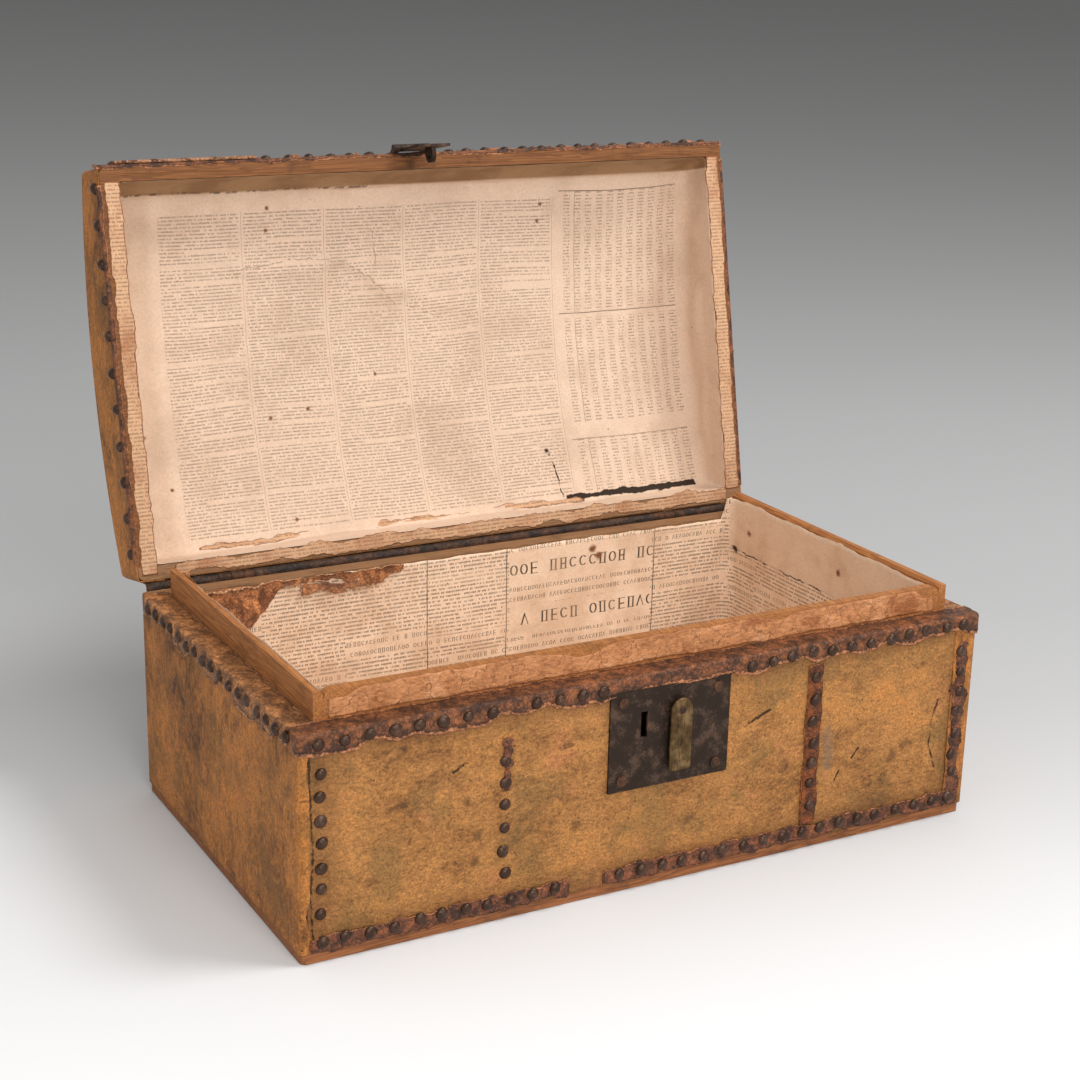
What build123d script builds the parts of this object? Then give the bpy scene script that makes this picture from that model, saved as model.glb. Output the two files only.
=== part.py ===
"""A hide-covered dome-top trunk for papers and keepsakes, standing open.

Millimetres, +Z up, the front faces -Y. The origin is the middle of the underside.
The lid, its ironwork and the hasp are drawn shut, in the place where their fits are
easiest to state, and are turned open about the hinge pins as they are written.
"""

import os
from math import asin, cos, degrees, radians, sin, sqrt

from build123d import *

os.makedirs("parts", exist_ok=True)

# Sizes of the case, over the wood
case_length = 478.0
case_depth = 270.0
case_height = 141.0
base_thickness = 6.5
front_wall = 15.0
end_wall = 15.0
back_wall = 13.0
corner_radius = 4.0

# The lip: thin inner boards that stand proud of the case and keep the lid in place
lip_thickness = 6.0
lip_height = 18.0

# Sizes of the lid, over the wood
lid_side_height = 37.0
dome_rise = 21.0
lid_wall = 9.0
lid_end_wall = 12.0
dome_thickness = 9.0
dome_board_count = 5
lid_open_angle = 101.5

# Coverings
hide_thickness = 1.0
leather_thickness = 1.2
paper_thickness = 0.5
hide_wrap = 13.0
top_binding_width = 17.0
bottom_binding_width = 13.0
rim_binding_width = 13.0
strap_width = 11.5
strap_offset = 110.0
seam_strip_width = 10.0
bare_lip_edge = 6.0

# Round-headed nails
nail_head_radius = 3.8
nail_head_height = 2.2
nail_head_taper = 38.0
nail_head_sides = 8
nail_shank = 1.5
nail_length = 7.0
nail_edge = 5.5
nail_pitch = 15.2
column_inset = 18.0
lid_nail_pitch = 24.0

# Where leather tore off along the front's top and bottom, its nails are lost too
lost_top_x = (-113.0, -100.0)
lost_bottom_x = (-70.0, -38.0)

# Lock plate, its slot for the staple and the keyhole with its swinging cover
lock_plate_width = 85.5
lock_plate_height = 64.5
lock_plate_thickness = 1.6
lock_plate_x = 1.75
lock_plate_z = 100.25
slot_x = -17.2
slot_z = 109.5
slot_width = 4.6
slot_height = 16.5
cover_x = 7.3
cover_pivot_z = 116.0
cover_width = 15.5
cover_drop = 39.5
cover_thickness = 2.0
cover_standoff = 2.6
cover_pin_radius = 1.5
keyhole_drop = 20.0
keyhole_radius = 1.9
keyhole_slot_width = 1.8
keyhole_slot_length = 7.0
plate_rivet_inset = 9.0
plate_rivet_drop = 7.0
rivet_head_radius = 3.5
rivet_head_height = 0.8
rivet_shank_radius = 1.5
rivet_length = 9.0

# Iron lock case let into the front board, with its bolt and spring
lock_case_width = 57.0
lock_case_height = 39.0
lock_case_depth = 11.5
lock_case_x = 2.0
lock_case_z = 103.0
lock_case_wall = 1.2
bolt_size = 3.6
bolt_length = 35.0
bolt_throw = 11.0
bolt_guide_thickness = 1.5
bolt_guide_drop = 7.0
bolt_guide_rise = 5.5
bolt_talon_length = 5.5
bolt_talon_drop = 6.0
spring_thickness = 0.5
spring_width = 2.4

# Hasp: a plate on the lid, a leaf that hangs from it and a staple that enters the slot
hasp_plate_width = 27.5
hasp_plate_height = 33.0
hasp_plate_thickness = 1.6
hasp_barrel_radius = 2.6
hasp_pin_radius = 1.2
hasp_pivot_z = 140.5
leaf_thickness = 1.8
leaf_top_width = 17.0
leaf_end_width = 26.0
leaf_length = 37.5
leaf_neck = 3.4
staple_thickness = 3.0
staple_radius = 5.5
staple_eye_radius = 3.0
staple_eye_reach = 5.0

# Two strap hinges on the back
hinge_inset = 67.0
hinge_width = 26.0
hinge_thickness = 2.0
hinge_barrel_radius = 3.5
hinge_pin_radius = 1.5
hinge_knuckle = 9.0
case_strap_length = 58.0
lid_strap_length = 28.0
hinge_screw_pitch = 20.0

# Clearances
running_gap = 0.3
pin_clearance = 0.05
hinge_back_gap = 0.4
swing_gap = 0.4
fitted_gap = 0.2

# Places worked out from the sizes
half_length = case_length / 2
half_depth = case_depth / 2
hinge_spread = half_length - hinge_inset
lip_top = case_height + lip_height
cavity_half_length = half_length - end_wall - lip_thickness
cavity_front = -half_depth + front_wall + lip_thickness
cavity_back = half_depth - back_wall
hide_face = half_depth + hide_thickness
leather_face = hide_face + leather_thickness
seam_x = half_length + hide_thickness - hide_wrap
rim_z = case_height + leather_thickness + running_gap
dome_radius = (half_depth**2 + dome_rise**2) / (2 * dome_rise)
dome_centre_z = rim_z + lid_side_height + dome_rise - dome_radius
ceiling_radius = dome_radius - dome_thickness
lid_room_half_length = half_length - lid_end_wall
lid_room_half_depth = half_depth - lid_wall
plate_face = hide_face + lock_plate_thickness
leaf_inner = plate_face + swing_gap
hasp_pivot_y = -(leaf_inner + hasp_barrel_radius)
hinge_y = hide_face + hinge_back_gap + hinge_barrel_radius
hinge_z = (case_height + rim_z) / 2
hinge_axis = Axis((0, hinge_y, hinge_z), (1, 0, 0))
tall = 4 * (case_height + lid_side_height + dome_rise)


def write(piece, name, on_lid=False):
    """Label a finished piece and write it, turned open if it belongs to the lid."""
    if on_lid:
        piece.part = piece.part.rotate(hinge_axis, -lid_open_angle)
    piece.part.label = name
    export_step(piece.part, f"parts/{name}.step")
    print(f"{name}: {len(piece.part.solids())} solids, {piece.part.volume / 1000:.1f} cm3")


def slab(x0, x1, y0, y1, z0, z1, mode=Mode.ADD):
    """A square-edged board between two corners."""
    with Locations(((x0 + x1) / 2, (y0 + y1) / 2, (z0 + z1) / 2)):
        Box(x1 - x0, y1 - y0, z1 - z0, mode=mode)


def case_block(grow, bottom, top, mode=Mode.ADD):
    """The round-cornered outside of the case, grown by a covering's thickness."""
    with BuildSketch(Plane.XY.offset(bottom)) as outline:
        RectangleRounded(case_length + 2 * grow, case_depth + 2 * grow, corner_radius + grow)
    extrude(outline.sketch, amount=top - bottom, mode=mode)


def dome_face(radius, half):
    """The lid's end outline: a rectangle on the rim under the arc of the dome."""
    with Locations((0, rim_z + tall / 2)):
        Rectangle(2 * half, tall)
    with Locations((0, dome_centre_z)):
        Circle(radius, mode=Mode.INTERSECT)


def lid_block(grow):
    """The round-cornered outside of the lid, grown by a covering's thickness."""
    with BuildPart() as block:
        with BuildSketch(Plane.YZ.offset(-half_length - grow)):
            dome_face(dome_radius + grow, half_depth + grow)
        extrude(amount=case_length + 2 * grow)
        fillet(block.edges().filter_by(Axis.Z), corner_radius + grow)
    return block.part


def spaced(start, end, pitch):
    """Evenly spaced places from start to end, as near the wanted pitch as they divide."""
    count = max(1, round(abs(end - start) / pitch))
    return [start + (end - start) * step / count for step in range(count + 1)]


def still_held(places, lost):
    """The places in a row of nails that lie outside the stretch where the leather is lost."""
    return [place for place in places if not lost[0] < place < lost[1]]


def write_nails(name, planes, on_lid=False):
    """Write one group of nails, each driven in where a plane lies on the covering."""
    with BuildPart() as group:
        with Locations(*planes):
            add(one_nail.part)
    write(group, name, on_lid)


def on_front(x, z, face):
    """A plane on the front of the trunk, facing out."""
    return Plane(origin=(x, -face, z), x_dir=(1, 0, 0), z_dir=(0, -1, 0))


def on_end(side, y, z):
    """A plane on the leather of one end, facing out."""
    return Plane(origin=(side * end_face, y, z), x_dir=(0, 1, 0), z_dir=(side, 0, 0))


# The outside of the lid in wood, over its hide and over its leather
lid_wood = lid_block(0)
lid_over_hide = lid_block(hide_thickness)
lid_over_leather = lid_block(hide_thickness + leather_thickness)

# The case: a base board under four nailed walls
with BuildPart() as base_board:
    case_block(0, 0, base_thickness)
write(base_board, "base_board")

with BuildPart() as front_board:
    case_block(0, base_thickness, case_height)
    slab(-half_length, half_length, -half_depth + front_wall, half_depth, 0, tall, Mode.SUBTRACT)
    with BuildSketch(Plane.XZ.offset(half_depth)):
        with Locations((lock_case_x, lock_case_z)):
            Rectangle(lock_case_width + 2 * fitted_gap, lock_case_height + 2 * fitted_gap)
    extrude(amount=-(lock_case_depth - hide_thickness + fitted_gap), mode=Mode.SUBTRACT)
write(front_board, "front_board")

with BuildPart() as back_board:
    case_block(0, base_thickness, case_height)
    slab(-half_length, half_length, -half_depth, cavity_back, 0, tall, Mode.SUBTRACT)
write(back_board, "back_board")

for side, name in ((-1, "left_end_board"), (1, "right_end_board")):
    with BuildPart() as end_board:
        outer, inner = side * half_length, side * (half_length - end_wall)
        slab(min(outer, inner), max(outer, inner), -half_depth + front_wall, cavity_back,
             base_thickness, case_height)
    write(end_board, name)

# The lip boards line the front and the ends, and the paper covers what they enclose
with BuildPart() as front_lip:
    slab(-cavity_half_length, cavity_half_length, cavity_front - lip_thickness, cavity_front,
         base_thickness, lip_top)
    upper_ends = front_lip.edges().filter_by(Axis.Y).group_by(Axis.Z)[-1]
    fillet(upper_ends, lip_thickness)
write(front_lip, "front_lip")

for side, name in ((-1, "left_lip"), (1, "right_lip")):
    with BuildPart() as end_lip:
        outer = side * (cavity_half_length + lip_thickness)
        inner = side * cavity_half_length
        slab(min(outer, inner), max(outer, inner), cavity_front - lip_thickness, cavity_back,
             base_thickness, lip_top)
        top_edges = end_lip.edges().filter_by(Axis.Y).group_by(Axis.Z)[-1]
        chamfer(top_edges.sort_by(Axis.X)[0 if side > 0 else -1], lip_thickness / 3)
    write(end_lip, name)

with BuildPart() as case_lining:
    slab(-cavity_half_length, cavity_half_length, cavity_front, cavity_back,
         base_thickness, lip_top - bare_lip_edge)
    slab(-cavity_half_length + paper_thickness, cavity_half_length - paper_thickness,
         cavity_front + paper_thickness, cavity_back - paper_thickness,
         base_thickness + paper_thickness, lip_top, Mode.SUBTRACT)
    slab(-cavity_half_length + paper_thickness, cavity_half_length - paper_thickness,
         cavity_back - paper_thickness, cavity_back, case_height, lip_top, Mode.SUBTRACT)
write(case_lining, "case_lining")

# Hides: the end hides turn the corners and meet the front and back hides at a seam
for side, name in ((-1, "left_end_hide"), (1, "right_end_hide")):
    with BuildPart() as end_hide:
        case_block(hide_thickness, base_thickness, case_height)
        case_block(0, base_thickness, case_height, Mode.SUBTRACT)
        slab(*sorted((side * seam_x, side * tall)), -tall, tall, 0, tall, Mode.INTERSECT)
    write(end_hide, name)

with BuildPart() as front_hide:
    slab(-seam_x, seam_x, -hide_face, -half_depth, base_thickness, case_height)
    with BuildSketch(Plane.XZ.offset(hide_face)):
        with Locations((lock_case_x, lock_case_z)):
            Rectangle(lock_case_width + 2 * fitted_gap, lock_case_height + 2 * fitted_gap)
    extrude(amount=-hide_thickness, mode=Mode.SUBTRACT)
write(front_hide, "front_hide")

with BuildPart() as back_hide:
    slab(-seam_x, seam_x, half_depth, hide_face, base_thickness, case_height)
write(back_hide, "back_hide")


# Leather bindings: along the top edge they fold over the ledge that the lid sits on
def top_binding():
    """The top binding all round: a leg down the outside and a leg over the ledge."""
    case_block(hide_thickness + leather_thickness, case_height - top_binding_width,
               case_height + leather_thickness)
    case_block(hide_thickness, 0, case_height, Mode.SUBTRACT)
    lip_room = cavity_half_length + lip_thickness + fitted_gap
    slab(-lip_room, lip_room, cavity_front - lip_thickness - fitted_gap, tall, 0, tall,
         Mode.SUBTRACT)


binding_turn = half_depth - front_wall
back_stop = half_depth - corner_radius - hide_thickness
with BuildPart() as front_top_binding:
    top_binding()
    slab(-tall, tall, -tall, -binding_turn, 0, tall, Mode.INTERSECT)
    slab(lock_plate_x - lock_plate_width / 2 - fitted_gap,
         lock_plate_x + lock_plate_width / 2 + fitted_gap, -tall, -hide_face,
         0, lock_plate_z + lock_plate_height / 2 + fitted_gap, Mode.SUBTRACT)
write(front_top_binding, "front_top_binding")

with BuildPart() as end_top_bindings:
    top_binding()
    slab(-tall, tall, -binding_turn, back_stop, 0, tall, Mode.INTERSECT)
write(end_top_bindings, "end_top_bindings")

bottom_binding_top = base_thickness + bottom_binding_width
top_binding_foot = case_height - top_binding_width
with BuildPart() as front_bottom_binding:
    flat_half = half_length - corner_radius - hide_thickness
    slab(-flat_half, flat_half, -leather_face, -hide_face, base_thickness, bottom_binding_top)
write(front_bottom_binding, "front_bottom_binding")

for middle, width, name in ((strap_offset, strap_width, "front_right_strap"),
                            (seam_x, seam_strip_width, "front_right_seam_strip")):
    with BuildPart() as strip:
        slab(middle - width / 2, middle + width / 2, -leather_face, -hide_face,
             bottom_binding_top, top_binding_foot)
    write(strip, name)

# The lock plate on the hide
plate_x0 = lock_plate_x - lock_plate_width / 2
plate_x1 = lock_plate_x + lock_plate_width / 2
plate_z0 = lock_plate_z - lock_plate_height / 2
plate_z1 = lock_plate_z + lock_plate_height / 2
rivet_places = [(x, z) for x in (plate_x0 + plate_rivet_inset, plate_x1 - plate_rivet_inset)
                for z in (plate_z0 + plate_rivet_drop, plate_z1 - plate_rivet_drop)]
with BuildPart() as lock_plate:
    slab(plate_x0, plate_x1, -plate_face, -hide_face, plate_z0, plate_z1)
    with BuildSketch(Plane.XZ.offset(plate_face)):
        with Locations((slot_x, slot_z)):
            Rectangle(slot_width, slot_height)
        with Locations((cover_x, cover_pivot_z)):
            Circle(cover_pin_radius)
        with Locations((cover_x, cover_pivot_z - keyhole_drop)):
            Circle(keyhole_radius)
        with Locations((cover_x, cover_pivot_z - keyhole_drop - keyhole_slot_length / 2)):
            Rectangle(keyhole_slot_width, keyhole_slot_length)
        with Locations(*rivet_places):
            Circle(rivet_shank_radius)
    extrude(amount=-lock_plate_thickness, mode=Mode.SUBTRACT)
write(lock_plate, "lock_plate")

with BuildPart() as lock_plate_rivets:
    with BuildSketch(Plane.XZ.offset(plate_face)):
        with Locations(*rivet_places):
            Circle(rivet_head_radius)
    extrude(amount=rivet_head_height)
    with BuildSketch(Plane.XZ.offset(plate_face)):
        with Locations(*rivet_places):
            Circle(rivet_shank_radius)
    extrude(amount=-rivet_length)
write(lock_plate_rivets, "lock_plate_rivets")

# The lock case behind the plate: a shallow iron box with two guides for the bolt
case_x0 = lock_case_x - lock_case_width / 2
case_x1 = lock_case_x + lock_case_width / 2
case_z0 = lock_case_z - lock_case_height / 2
case_z1 = lock_case_z + lock_case_height / 2
case_back_y = -hide_face + lock_case_depth
bolt_y = -(leaf_inner - staple_eye_reach)
bolt_x0 = slot_x + slot_width / 2 + bolt_size
left_guide_x = bolt_x0 + running_gap
right_guide_x = bolt_x0 + bolt_length - bolt_throw - bolt_guide_thickness - running_gap
with BuildPart() as lock_case:
    slab(case_x0, case_x1, -hide_face, case_back_y, case_z0, case_z1)
    slab(case_x0 + lock_case_wall, case_x1 - lock_case_wall, -hide_face,
         case_back_y - lock_case_wall, case_z0 + lock_case_wall, case_z1 - lock_case_wall,
         Mode.SUBTRACT)
    for guide_x in (left_guide_x, right_guide_x):
        slab(guide_x, guide_x + bolt_guide_thickness, -hide_face + fitted_gap,
             case_back_y - lock_case_wall, slot_z - bolt_guide_drop, slot_z + bolt_guide_rise)
    slab(left_guide_x, right_guide_x + bolt_guide_thickness, bolt_y - bolt_size / 2 - fitted_gap,
         bolt_y + bolt_size / 2 + fitted_gap, slot_z - bolt_size / 2 - fitted_gap,
         slot_z + bolt_size / 2 + fitted_gap, Mode.SUBTRACT)
write(lock_case, "lock_case")

with BuildPart() as lock_bolt:
    slab(bolt_x0, bolt_x0 + bolt_length, bolt_y - bolt_size / 2, bolt_y + bolt_size / 2,
         slot_z - bolt_size / 2, slot_z + bolt_size / 2)
    talon_x = cover_x - bolt_talon_length / 2
    slab(talon_x, talon_x + bolt_talon_length, bolt_y - bolt_size / 2, bolt_y + bolt_size / 2,
         slot_z - bolt_talon_drop, slot_z)
    with BuildSketch(Plane.XZ.offset(-bolt_y + bolt_size / 2)):
        with Locations((cover_x, slot_z - bolt_talon_drop)):
            Circle(keyhole_radius)
    extrude(amount=-bolt_size, mode=Mode.SUBTRACT)
write(lock_bolt, "lock_bolt")

spring_top = case_z1 - lock_case_wall - spring_thickness / 2
spring_foot = slot_z + bolt_size / 2 + running_gap + spring_thickness / 2
with BuildPart() as lock_spring:
    with BuildSketch(Plane.XZ.offset(-bolt_y + spring_width / 2)):
        with BuildLine():
            spring_line = FilletPolyline(
                (case_x1 - 3 * lock_case_wall, spring_top),
                (cover_x + 2 * keyhole_radius, spring_top),
                (left_guide_x + 3 * bolt_size, spring_foot),
                (left_guide_x + 2 * bolt_size, spring_foot + spring_thickness),
                radius=spring_thickness,
            )
        trace(line_width=spring_thickness)
    extrude(amount=-spring_width)
write(lock_spring, "lock_spring")

# The keyhole cover hangs on a shouldered pin, countersunk flush, clear of the hasp's leaf
cover_inner = plate_face + cover_standoff
cover_outer = cover_inner + cover_thickness
sink = cover_thickness / 2
with BuildPart() as keyhole_cover:
    with BuildSketch(Plane.XZ.offset(cover_inner)):
        with Locations((cover_x, cover_pivot_z)):
            Circle(cover_width / 2)
        with Locations((cover_x, cover_pivot_z - cover_drop / 2)):
            Rectangle(cover_width, cover_drop)
    extrude(amount=cover_thickness)
    feet = keyhole_cover.edges().filter_by(Axis.Y).group_by(Axis.Z)[0]
    fillet(feet, cover_width / 5)
    chamfer(keyhole_cover.faces().sort_by(Axis.Y)[0].edges(), cover_thickness / 3)
    with Locations(Plane.XZ.offset(cover_outer) * Location((cover_x, cover_pivot_z, 0))):
        CounterSinkHole(cover_pin_radius + pin_clearance, cover_pin_radius + sink + pin_clearance,
                        depth=cover_thickness, counter_sink_angle=90)
write(keyhole_cover, "keyhole_cover")

with BuildPart() as keyhole_cover_pin:
    with BuildSketch(Plane.YZ.offset(cover_x)):
        with BuildLine():
            Polyline(
                (-hide_face, cover_pivot_z),
                (-hide_face, cover_pivot_z + cover_pin_radius),
                (-plate_face, cover_pivot_z + cover_pin_radius),
                (-plate_face, cover_pivot_z + 2 * cover_pin_radius),
                (-cover_inner + pin_clearance, cover_pivot_z + 2 * cover_pin_radius),
                (-cover_inner + pin_clearance, cover_pivot_z + cover_pin_radius),
                (-cover_outer + sink, cover_pivot_z + cover_pin_radius),
                (-cover_outer, cover_pivot_z + cover_pin_radius + sink),
                (-cover_outer, cover_pivot_z),
                close=True,
            )
        make_face()
    revolve(axis=Axis((cover_x, 0, cover_pivot_z), (0, 1, 0)))
write(keyhole_cover_pin, "keyhole_cover_pin")


# Strap hinges: two knuckles on the case, one between them on the lid, and a pin
def hinge_strap(middle, length, direction):
    """A strap flat on the back hide, from the barrel's clearance outwards, with a round end."""
    start = hinge_barrel_radius + swing_gap
    with BuildSketch(Plane.XZ.offset(-hide_face)) as strap:
        with Locations((middle, hinge_z + direction * (start + length / 2))):
            Rectangle(hinge_width, length)
        by_height = strap.vertices().sort_by(Axis.Y)
        fillet(by_height[-2:] if direction > 0 else by_height[:2], hinge_width / 3)
    extrude(strap.sketch, amount=-hinge_thickness)


def hinge_knuckles(spans, direction):
    """Barrels over the given stretches of X, each joined to its strap by a short tab."""
    reach = hinge_barrel_radius + swing_gap
    for x0, x1 in spans:
        slab(x0, x1, hide_face, hide_face + hinge_thickness,
             *sorted((hinge_z, hinge_z + direction * reach)))
        with BuildSketch(Plane.YZ.offset(x0)) as barrel:
            with Locations((hinge_y, hinge_z)):
                Circle(hinge_barrel_radius)
        extrude(barrel.sketch, amount=x1 - x0)
        with BuildSketch(Plane.YZ.offset(x0)) as bore:
            with Locations((hinge_y, hinge_z)):
                Circle(hinge_pin_radius + pin_clearance)
        extrude(bore.sketch, amount=x1 - x0, mode=Mode.SUBTRACT)


def strap_screw_places(middle, length, direction):
    """Screw centres along one strap."""
    first = hinge_barrel_radius + swing_gap + hinge_screw_pitch / 3
    last = hinge_barrel_radius + swing_gap + length - hinge_screw_pitch / 3
    return [(middle, hinge_z + direction * drop) for drop in spaced(first, last, hinge_screw_pitch)]


case_screws = []
lid_screws = []
for side, tag in ((-1, "left"), (1, "right")):
    middle = side * hinge_spread
    inner = hinge_knuckle / 2
    outer = hinge_width / 2
    with BuildPart() as case_hinge_strap:
        hinge_strap(middle, case_strap_length, -1)
        hinge_knuckles(((middle - outer, middle - inner - running_gap),
                        (middle + inner + running_gap, middle + outer)), -1)
    write(case_hinge_strap, f"{tag}_case_hinge_strap")
    with BuildPart() as lid_hinge_strap:
        hinge_strap(middle, lid_strap_length, 1)
        hinge_knuckles(((middle - inner, middle + inner),), 1)
    write(lid_hinge_strap, f"{tag}_lid_hinge_strap", on_lid=True)
    case_screws += strap_screw_places(middle, case_strap_length, -1)
    lid_screws += strap_screw_places(middle, lid_strap_length, 1)

with BuildPart() as hinge_pins:
    for side in (-1, 1):
        with BuildSketch(Plane.YZ.offset(side * hinge_spread - hinge_width / 2)):
            with Locations((hinge_y, hinge_z)):
                Circle(hinge_pin_radius)
        extrude(amount=hinge_width)
write(hinge_pins, "hinge_pins")

for places, name, on_lid in ((case_screws, "case_hinge_screws", False),
                             (lid_screws, "lid_hinge_screws", True)):
    with BuildPart() as screws:
        with BuildSketch(Plane.XZ.offset(-hide_face - hinge_thickness)):
            with Locations(*places):
                Circle(rivet_head_radius)
        extrude(amount=-rivet_head_height)
        with BuildSketch(Plane.XZ.offset(-hide_face - hinge_thickness)):
            with Locations(*places):
                Circle(rivet_shank_radius)
        extrude(amount=rivet_length)
    write(screws, name, on_lid)

# The lid: front and back boards, arched ends, and the boards of the dome laid over them
for side, name in ((-1, "lid_front_board"), (1, "lid_back_board")):
    with BuildPart() as lid_board:
        with BuildSketch(Plane.YZ.offset(-half_length)):
            dome_face(ceiling_radius, half_depth)
            with Locations((side * (half_depth - lid_wall / 2), rim_z)):
                Rectangle(lid_wall, 2 * tall, mode=Mode.INTERSECT)
        extrude(amount=case_length)
        corners = lid_board.edges().filter_by(Axis.Z).sort_by(Axis.Y)
        fillet(corners[:2] if side < 0 else corners[-2:], corner_radius)
    write(lid_board, name, on_lid=True)

for side, name in ((-1, "lid_left_end"), (1, "lid_right_end")):
    with BuildPart() as lid_end:
        start = min(side * half_length, side * lid_room_half_length)
        with BuildSketch(Plane.YZ.offset(start)):
            dome_face(ceiling_radius, lid_room_half_depth)
        extrude(amount=lid_end_wall)
    write(lid_end, name, on_lid=True)

dome_half_angle = degrees(asin(half_depth / dome_radius))
board_angle = 2 * dome_half_angle / dome_board_count
for number in range(dome_board_count):
    first = -dome_half_angle + number * board_angle
    edge_angles = [first, first + board_angle]
    if number == 0:
        edge_angles[0] -= board_angle
    if number == dome_board_count - 1:
        edge_angles[1] += board_angle
    with BuildPart() as dome_board:
        with BuildSketch(Plane.YZ.offset(-half_length)):
            with BuildLine():
                Polyline(
                    (0, dome_centre_z),
                    *[(2 * dome_radius * sin(radians(a)),
                       dome_centre_z + 2 * dome_radius * cos(radians(a))) for a in edge_angles],
                    close=True,
                )
            make_face()
            with Locations((0, dome_centre_z)):
                Circle(dome_radius, mode=Mode.INTERSECT)
                Circle(ceiling_radius, mode=Mode.SUBTRACT)
            with Locations((0, rim_z)):
                Rectangle(case_depth, 2 * tall, mode=Mode.INTERSECT)
        extrude(amount=case_length)
        corners = dome_board.edges().filter_by(Axis.Z)
        if corners:
            fillet(corners, corner_radius)
    write(dome_board, f"dome_board_{number + 1}", on_lid=True)

with BuildPart() as lid_lining:
    for step, mode in ((0, Mode.ADD), (paper_thickness, Mode.SUBTRACT)):
        with BuildSketch(Plane.YZ.offset(-lid_room_half_length + step)):
            dome_face(ceiling_radius - step, lid_room_half_depth - step)
        extrude(amount=2 * (lid_room_half_length - step), mode=mode)
write(lid_lining, "lid_lining", on_lid=True)

# The lid's hides: one over the front, dome and back, and one that turns over each end
with BuildPart() as lid_hide:
    add(lid_over_hide)
    add(lid_wood, mode=Mode.SUBTRACT)
    slab(-seam_x, seam_x, -tall, tall, 0, tall, Mode.INTERSECT)
write(lid_hide, "lid_hide", on_lid=True)

for side, name in ((-1, "lid_left_hide"), (1, "lid_right_hide")):
    with BuildPart() as lid_end_hide:
        add(lid_over_hide)
        add(lid_wood, mode=Mode.SUBTRACT)
        slab(*sorted((side * seam_x, side * tall)), -tall, tall, 0, tall, Mode.INTERSECT)
    write(lid_end_hide, name, on_lid=True)

# The lid's leather: round the rim at the front and the ends, and two straps over the dome
rim_binding_top = rim_z + rim_binding_width
with BuildPart() as lid_front_rim_binding:
    add(lid_over_leather)
    add(lid_over_hide, mode=Mode.SUBTRACT)
    slab(-tall, tall, -tall, -binding_turn, 0, rim_binding_top, Mode.INTERSECT)
    slab(slot_x - hasp_plate_width / 2 - fitted_gap, slot_x + hasp_plate_width / 2 + fitted_gap,
         -tall, 0, 0, tall, Mode.SUBTRACT)
write(lid_front_rim_binding, "lid_front_rim_binding", on_lid=True)

with BuildPart() as lid_end_rim_bindings:
    add(lid_over_leather)
    add(lid_over_hide, mode=Mode.SUBTRACT)
    slab(-tall, tall, -binding_turn, back_stop, 0, rim_binding_top, Mode.INTERSECT)
write(lid_end_rim_bindings, "lid_end_rim_bindings", on_lid=True)

for side, name in ((-1, "dome_left_strap"), (1, "dome_right_strap")):
    with BuildPart() as dome_strap:
        add(lid_over_leather)
        add(lid_over_hide, mode=Mode.SUBTRACT)
        slab(side * strap_offset - strap_width / 2, side * strap_offset + strap_width / 2,
             -tall, tall, 0, tall, Mode.INTERSECT)
        slab(-tall, tall, -tall, -binding_turn, 0, rim_binding_top, Mode.SUBTRACT)
    write(dome_strap, name, on_lid=True)

# The hasp's plate is riveted to the lid, with a knuckle on each side of the leaf's own
hasp_x0 = slot_x - hasp_plate_width / 2
hasp_x1 = slot_x + hasp_plate_width / 2
hasp_face = hide_face + hasp_plate_thickness
leaf_x0 = slot_x - leaf_top_width / 2
leaf_x1 = slot_x + leaf_top_width / 2
knuckle_reach = hasp_barrel_radius + swing_gap
hasp_foot = max(rim_z, hasp_pivot_z + knuckle_reach) + fitted_gap
hasp_knuckles = ((hasp_x0, leaf_x0 - running_gap), (leaf_x1 + running_gap, hasp_x1))
with BuildPart() as hasp_plate:
    with BuildSketch(Plane.XZ.offset(hide_face)) as outline:
        with Locations((slot_x, hasp_foot + hasp_plate_height / 2)):
            Rectangle(hasp_plate_width, hasp_plate_height)
        fillet(outline.vertices().sort_by(Axis.Y)[-2:], hasp_plate_width / 5)
    extrude(amount=hasp_plate_thickness)
    for x0, x1 in hasp_knuckles:
        with BuildSketch(Plane.YZ.offset(x0)):
            with BuildLine():
                Polyline(
                    (-hasp_face, hasp_foot),
                    (-hasp_face, hasp_foot + 2 * hasp_plate_thickness),
                    (hasp_pivot_y, hasp_pivot_z + hasp_barrel_radius),
                    (hasp_pivot_y, hasp_pivot_z),
                    (hasp_pivot_y + hasp_barrel_radius, hasp_pivot_z),
                    close=True,
                )
            make_face()
            with Locations((hasp_pivot_y, hasp_pivot_z)):
                Circle(hasp_barrel_radius)
                Circle(hasp_pin_radius + pin_clearance, mode=Mode.SUBTRACT)
        extrude(amount=x1 - x0)
write(hasp_plate, "hasp_plate", on_lid=True)

with BuildPart() as hasp_pin:
    with BuildSketch(Plane.YZ.offset(hasp_x0)):
        with Locations((hasp_pivot_y, hasp_pivot_z)):
            Circle(hasp_pin_radius)
    extrude(amount=hasp_plate_width)
write(hasp_pin, "hasp_pin", on_lid=True)

hasp_rivet_places = [(slot_x + side * hasp_plate_width / 3, hasp_foot + hasp_plate_height * share)
                     for side, share in ((-1, 0.25), (1, 0.25), (0, 0.8))]
with BuildPart() as hasp_rivets:
    with BuildSketch(Plane.XZ.offset(hasp_face)):
        with Locations(*hasp_rivet_places):
            Circle(rivet_head_radius)
    extrude(amount=rivet_head_height)
    with BuildSketch(Plane.XZ.offset(hasp_face)):
        with Locations(*hasp_rivet_places):
            Circle(rivet_shank_radius)
    extrude(amount=-rivet_length)
write(hasp_rivets, "hasp_rivets", on_lid=True)

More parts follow.
